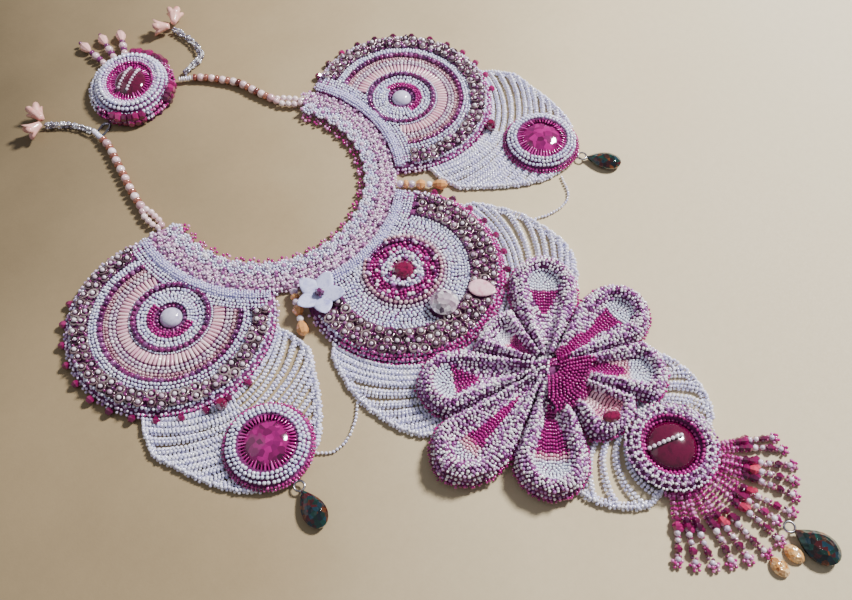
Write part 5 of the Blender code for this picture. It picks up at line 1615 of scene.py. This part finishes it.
# %% Draw ovals
ROSETTE_TURN, ROSETTE_SQUASH, FRILL_SQUASH = 50.0, 0.8605, 0.88
ROSETTE_BASE = 2.1
RIM_TOP = ((0.0, 2.6), (10.75, 2.6), (12.9, 4.8), (18.1, 6.0), (21.5, 2.7), (23.0, 0.6), (26.0, 0.4))


def oval_point(size, height, degrees, squash=ROSETTE_SQUASH):
    turn, angle = math.radians(ROSETTE_TURN), math.radians(degrees)
    along, across = size * MM * math.cos(angle), size * squash * MM * math.sin(angle)
    return Vector((ROSETTE.x + along * math.cos(turn) - across * math.sin(turn),
                   ROSETTE.y + along * math.sin(turn) + across * math.cos(turn), height * MM))


def oval_row(size, lift, width):
    """A closed row of beads on the rosette's rim."""
    height = ROSETTE_BASE + blend(RIM_TOP, size) + lift
    return row([oval_point(size, height, 360.0 * k / 96) for k in range(96)], width, closed=True)


print("rosette slant:", ROSETTE_TURN)

# %% Ruffle the frill
FRILL_LOOPS = 34
CRYSTAL_ARCS = ((128, 172), (212, 240), (282, 336))
frill = {True: [], False: []}
for k in range(FRILL_LOOPS):
    angle = 360.0 * k / FRILL_LOOPS
    pale = 0.0 < angle < 126.0 or 176.0 < angle < 206.0
    for inner, lift in ((22.6, 0.0), (21.0, 2.0)):
        loop = []
        for step in range(9):
            swing = angle + 6.5 * math.sin(math.pi * 2 * step / 8)
            out = inner + 2.4 * (1 - math.cos(2 * math.pi * step / 8)) / 2
            height = 1.2 + lift + 1.6 * math.sin(math.pi * step / 8)
            loop.append(oval_point(out, height, swing, FRILL_SQUASH))
        frill[pale].append(row(loop, 1.6))
ruffles = []
for first, last in CRYSTAL_ARCS:
    for angle in range(first, last, 8):
        for out, height in ((23.4, 5.0), (24.4, 2.9)):
            point = oval_point(out, height, angle + out, FRILL_SQUASH)
            ruffles.append((point, (0, 90, angle + out + ROSETTE_TURN), 4.4))
print("frill loops:", len(frill[True]), len(frill[False]), "ruffle crystals:", len(ruffles))

# %% Set the stone, its spikes and its bars
ROSETTE_SPIKES = 40
DOME = (5.0, 10.1, 5.0)
spikes = []
for k in range(ROSETTE_SPIKES):
    point = oval_point(11.3, ROSETTE_BASE + 4.4, 360.0 * k / ROSETTE_SPIKES)
    spikes.append((point, (0, -24, bearing(ROSETTE, point) + 180), 2.8))
bars = []
slant = math.radians(22.0)
for shift in (-2.4, 2.4):
    line = []
    for k in range(15):
        x = -7.2 + 14.4 * k / 14
        line.append(ROSETTE + Vector(((x * math.cos(slant) - shift * math.sin(slant)) * MM,
                                      (x * math.sin(slant) + shift * math.cos(slant)) * MM,
                                      over_dome(*DOME, math.hypot(x, shift)) * MM)))
    bars.append(row(line, 1.7))
lilac_rows = [oval_row(size, 0.5, 1.6) for size in (14.6, 15.9)]
white_rows = [oval_row(size, lift, width) for size, lift, width in ((17.6, 0.7, 2.2), (19.6, 0.6, 2.2),
                                                                    (21.3, 0.2, 1.8))]
magenta_rows = [oval_row(size, 0.5, 1.5) for size in (12.2, 13.4)]
ROSETTE_PIECES = (
    (bead_rows("rosette_lilac", lilac_rows, lilac_seed, seed=150), "seed_lilac", None),
    (bead_rows("rosette_white", white_rows, white_seed, sides=8, rings=5, seed=151), "net_white", None),
    (bead_rows("rosette_magenta", magenta_rows, magenta_seed, seed=152), "magenta_glass", None),
    (bead_rows("rosette_frill", frill[False], fringe_seed, wander=0.2, seed=153), "fringe_beads", None),
    (bead_rows("rosette_silver", frill[True], blue_seed, wander=0.2, seed=154), "seed_lilac", None),
    (bead_rows("rosette_bars", bars, bright_pearl, seed=155), "net_white", None),
    (set_copies("rosette_spikes", spike, spikes, magenta_seed, jitter=0.25, seed=156), "magenta_glass",
     None),
    (set_copies("rosette_ruffles", cut_bead, ruffles, red_crystal, jitter=0.25, seed=157),
     "magenta_glass", None),
    (dome("rosette_dome", ROSETTE, *DOME, crimson, ROSETTE_SQUASH, ROSETTE_TURN), "magenta_glass",
     "rosette_stone"),
)
print("rosette pieces:", len(ROSETTE_PIECES))

# %% [markdown]
# ## Stones, trims and drops
#
# Single stones and leaves don't repeat, so mesh code draws them. A faceted stone is a
# short section turned with few sides and left flat. A leaf is a row of flattened rings
# with a groove. A pear drop is its outline, stepped in towards a table above and below.

# %% Cut gems and shape leaves
LOOSE = []


def settle(item, centre, base, turn, finish, slot, node):
    """Move a shape's mesh to its place, give it its finish and note which solid it stands for."""
    item.data.transform(Matrix.Translation((centre.x, centre.y, base * MM))
                        @ Matrix.Rotation(math.radians(turn), 4, "Z"))
    item.data.materials.append(finish)
    LOOSE.append((item, slot, node))


def close_rings(work, rings):
    """Join rings of corners into a closed skin."""
    sides = len(rings[0])
    for low, high in zip(rings, rings[1:]):
        for k in range(sides):
            work.faces.new((low[k], low[(k + 1) % sides], high[(k + 1) % sides], high[k]))
    work.faces.new(rings[0])
    work.faces.new(rings[-1])


def gem(node, centre, base, radius, height, finish, slot, squash=1.0, turn=0.0, sides=12):
    """A faceted stone: a girdle, a ring of crown facets and a small flat table."""
    section = ((0, 0), (radius * 0.7, 0), (radius, height * 0.32), (radius, height * 0.42),
               (radius * 0.8, height * 0.76), (radius * 0.52, height), (0, height))
    settle(lathe("cut_" + node, section, sides, False, squash), centre, base, turn, finish, slot, node)


def add_leaf(work, start, length, width, height, heading, rise):
    """Add one leaf with a groove along its middle to a working mesh, in millimetres."""
    turn = math.radians(heading)
    rings = []
    for i in range(11):
        along = 0.02 + 0.96 * i / 10
        half = width / 2 * math.sin(math.pi * along ** 0.8) ** 0.65
        thick = height / 2 * math.sin(math.pi * along) ** 0.4
        ring = []
        for k in range(12):
            angle = 2 * math.pi * k / 12
            across = half * math.cos(angle)
            groove = 0.3 * height * (abs(math.sin(angle)) ** 6) * (math.sin(angle) > 0)
            up = thick * math.sin(angle) - groove + rise * along ** 2
            out = start[0] + length * along
            ring.append(work.verts.new(((out * math.cos(turn) - across * math.sin(turn)) * MM,
                                        (out * math.sin(turn) + across * math.cos(turn)) * MM,
                                        (start[1] + up) * MM)))
        rings.append(ring)
    close_rings(work, rings)


PEAR_STEPS = ((0.0, 0.5), (0.14, 0.78), (0.38, 1.0), (0.60, 1.0), (0.84, 0.76), (1.0, 0.48))
PEAR_BELLY, PEAR_THICKNESS = 0.62, 0.46


def pear(node, tip, heading, length, width, finish):
    """A flat cut pear: its outline, stepped in towards the tables above and below."""
    outline = []
    for k in range(24):
        angle = 2 * math.pi * k / 24
        share = 0.5 - 0.5 * math.cos(angle)
        if share < PEAR_BELLY:
            wide = math.sin(math.pi / 2 * share / PEAR_BELLY)
        else:
            wide = math.sqrt(1 - ((share - PEAR_BELLY) / (1 - PEAR_BELLY)) ** 2)
        outline.append((length * share, width / 2 * wide * (1 if k <= 12 else -1)))
    thickness = PEAR_THICKNESS * width
    work = bmesh.new()
    close_rings(work, [[work.verts.new(((0.6 * length + (x - 0.6 * length) * scale) * MM, y * scale * MM,
                                        height * thickness * MM)) for x, y in outline]
                       for height, scale in PEAR_STEPS])
    bmesh.ops.remove_doubles(work, verts=work.verts, dist=1e-6)
    settle(as_item("pear_" + node, work, False), tip, 0.0, heading, finish, "dark_crystal", node)


print("gem, leaf and pear are ready")

# %% [markdown]
# Milky domes sit in the side fans and red glass in the centre one. The centre fan also
# carries a frosted flower of five leaves, a clear crystal and a blush leaf, and the
# fringe has two amber leaf beads.

# %% Set the stones and trims
FAN_SEAT = 3.3
for side in SIDES:
    LOOSE.append((dome("milky_" + side, FANS[side], FAN_SEAT, 5.0, 4.2, milky), "white_stone",
                  "cabochon_" + side))
    gem("fan_crystal_" + side, middle_of("fan_crystal_" + side), 1.9, 2.8, 5.6, bright_crimson,
        "magenta_glass", sides=8)
gem("centre_stone", FANS["centre"], FAN_SEAT, 5.0, 3.6, bright_crimson, "magenta_glass", sides=10)
gem("flower_crystal", middle_of("flower_crystal"), 10.4, 4.0, 2.5, bright_crimson, "magenta_glass",
    0.625, -40.0, 10)
gem("clear_crystal", CLEAR, 5.7, 6.5, 6.0, clear_glass, "clear_glass", sides=14)
for node in ("leaf_bead_left", "leaf_bead_right"):
    place = middle_of(node)
    gem(node, place, 0.0, 4.25, 3.0, amber_glass, "amber_glass", 0.73, bearing(PENDANT, place), 14)

work = bmesh.new()
for k in range(5):
    add_leaf(work, (0.6, 7.2), 10.9, 8.6, 1.5, 20.0 + 72.0 * k, 2.0)
settle(as_item("lily_petals", work), LILY, 0.0, 0.0, frosted, "white_lucite", "lily")
work = bmesh.new()
add_leaf(work, (-6.5, 6.8), 13.0, 9.0, 1.9, -70.0, 0.6)
settle(as_item("blush_leaf", work), LEAF, 0.0, 0.0, blush, "pink_lucite", "pink_leaf")
lily_ring = [row(circle(LILY, 1.7, 8.8, steps=16), 1.4, closed=True)]
LOOSE.append((bead_rows("lily_seeds", lily_ring, dark_seed, seed=160), "fan_beads", None))
lily_heart = [(LILY + Vector((0, 0, 9.4 * MM)), (0, 0, 0), 3.4)]
LOOSE.append((set_copies("lily_middle", cut_bead, lily_heart, dark_seed, seed=161), "fan_beads", None))
print("stones and trims:", len(LOOSE))

# %% [markdown]
# The three dark drops hang from small silver loops. The amber strings and the pink
# dangles are short strings of mixed beads. Such a string is a list of beads with their
# distance, kind and size, so both sorts share one rule.

# %% Hang the drops and dangles
LOOPS = {"left": (spot(MEDALLIONS["left"], 21.7, -103.0), -110.0, 17.5, 10.0),
         "right": (spot(MEDALLIONS["right"], 21.7, -74.5), -66.0, 17.5, 10.0),
         "pendant": (spot(PENDANT, 52.8, -90.0), -90.0, 19.0, 12.0)}
for side, (loop, heading, length, width) in LOOPS.items():
    pear("drop_" + side, loop + spot(ORIGIN, 1.9, heading), heading, length, width, dark_glass_painted_flashes)
    bail = lathe("bail_" + side, ((1.6, 0), (2.15, 0.6), (2.7, 0), (2.15, -0.6), (1.6, 0)), 20)
    settle(bail, loop, 0.23 * width, 0.0, silver, "silver", None)

AMBER = ((2.2, "pearl", 3.8), (5.0, "disc", 2.2), (7.8, "pearl", 3.6), (12.2, "bead", 5.4),
         (16.4, "pearl", 3.2), (21.4, "drop", 5.6))
AMBER_LOTS = {"pearl": (bright_pearl, "seed_lilac"), "disc": (amber_bead, "amber_glass"),
              "bead": (amber_bead, "amber_glass"), "drop": (amber_bead, "amber_glass")}
AMBER_SWING = 36.8
DANGLE = ((0.08, "pearl", 3.8), (0.22, "disc", 1.9), (0.37, "pearl", 4.3), (0.52, "disc", 1.7),
          (0.76, "drop", 5.6), (0.975, "tip", 2.2))
DANGLE_LOTS = {"pearl": (peach_pearl, "peach_pearl"), "disc": (dark_seed, "fan_beads"),
               "drop": (salmon_bead, "pink_lucite"), "tip": (dark_seed, "fan_beads")}
DANGLE_PLACES = ((56.6, 25.2, 19.5), (70.0, 24.9, 21.5), (84.0, 24.2, 23.5))
KINDS = {"pearl": big_pearl, "disc": rondelle, "bead": cut_bead, "drop": briolette, "tip": pearl}


def hang(node, start, heading, beads, height, lots):
    """Hang a short string of mixed beads: each kind becomes a piece of its own."""
    kinds = {}
    for out, kind, size in beads:
        point = start + spot(ORIGIN, out, heading, height)
        kinds.setdefault(kind, []).append((point, (0, 90, heading), size))
    for number, (kind, places) in enumerate(kinds.items()):
        finish, slot = lots[kind]
        piece = set_copies("%s_%s" % (node, kind), KINDS[kind], places, finish, seed=170 + number)
        LOOSE.append((piece, slot, node if kind == "drop" else None))


for side, sign in SIDES.items():
    heading = -90.0 + sign * AMBER_SWING
    hang("amber_" + side, spot(THROAT, 62.3, heading), heading, AMBER, 3.0, AMBER_LOTS)
for number, (heading, reach, length) in enumerate(DANGLE_PLACES):
    hang("dangle_%d" % (number + 1), spot(ROSETTE, reach, heading), heading,
         [(share * length, kind, size) for share, kind, size in DANGLE], 2.7, DANGLE_LOTS)
print("loose pieces:", len(LOOSE))

# %% [markdown]
# The tails end in pairs of lucite bells that lie on their sides. A bell is a lathe
# shape with an inner wall, so it is hollow at its mouth. Its rim is then pulled in
# between five lobes, more and more towards the mouth.

# %% Open the bell flowers
BELL_SECTION = ((0.0, 0.0), (1.4, 0.1), (1.9, 1.6), (2.5, 3.6), (3.4, 5.8), (5.0, 8.5), (4.3, 8.2),
                (2.6, 5.6), (1.3, 3.4), (0.0, 2.8))
BELL_LENGTH, BELL_SWING = 8.5, 48.0


def bell(node, neck, heading):
    """A five-petalled bell that lies on its side."""
    item = lathe("bell_" + node, BELL_SECTION, 30)
    for vertex in item.data.vertices:
        angle = math.atan2(vertex.co.y, vertex.co.x)
        open_share = (vertex.co.z / (BELL_LENGTH * MM)) ** 2
        lobe = 1.0 - 0.34 * open_share * (1.0 - abs(math.cos(2.5 * angle)) ** 0.7)
        vertex.co.x *= lobe
        vertex.co.y *= lobe
        vertex.co.z *= 1.0 - 0.16 * open_share * (1.0 - abs(math.cos(2.5 * angle)))
    item.data.transform(Matrix.Rotation(math.radians(90.0), 4, "Y"))
    lowest = min(vertex.co.z for vertex in item.data.vertices)
    settle(item, neck, -1000 * lowest, heading, salmon, "pink_lucite", node)


for side in SIDES:
    route = from_throat(TAIL_ROUTES[side], 0.0)
    heading = bearing(route[-2], route[-1])
    for number, swing in ((1, -BELL_SWING), (2, BELL_SWING)):
        bell("tail_flower_%s_%d" % (side, number), spot(route[-1], 1.9, heading + swing), heading + swing)
print("loose pieces with bells:", len(LOOSE))

# %% [markdown]
# ## Hand things over
#
# Every new piece rides on the necklace's one body, and the CAD solid that it stands for,
# if any, is hidden.

# %% Attach the pieces and hide the solids they stand for
def hand_over(piece, slot, node=None):
    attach(piece, "root")
    if node:
        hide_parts(node)


for piece, slot in COLLAR_PIECES + tuple(FAN_PIECES) + tuple(FLOWER_PIECES):
    hand_over(piece, slot)
for name, piece in NETS.items():
    hand_over(piece, "net_white", "net_" + name)
for group in (MEDALLION_PIECES, FRINGE_PIECES, STRING_PIECES, ROSETTE_PIECES, LOOSE):
    for piece, slot, node in group:
        hand_over(piece, slot, node)
print("pieces:", len(TRIANGLES), "with trees")

# %% [markdown]
# The solids that stay are the ground that the beads are sewn to: plum felt, lilac felt
# under the collar, and silver for the clasp. The templates have done their work, so
# they go.

# %% Dress the solids that stay
DRESSED = {"collar": lilac_felt, "clasp": silver}
for name in ("fan_left", "fan_centre", "fan_right", "medallion_left", "medallion_right",
             "medallion_pendant", "rosette_base", "rosette_rim", "flower_heart",
             *[petal[0] for petal in PETALS]):
    DRESSED[name] = felt
for name, finish in DRESSED.items():
    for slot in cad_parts[name].material_slots:
        slot.material = finish
for item in TEMPLATES:
    bpy.data.objects.remove(item, do_unlink=True)
largest = max(TRIANGLES, key=TRIANGLES.get)
print("triangles added:", sum(TRIANGLES.values()), "largest:", largest, TRIANGLES[largest])
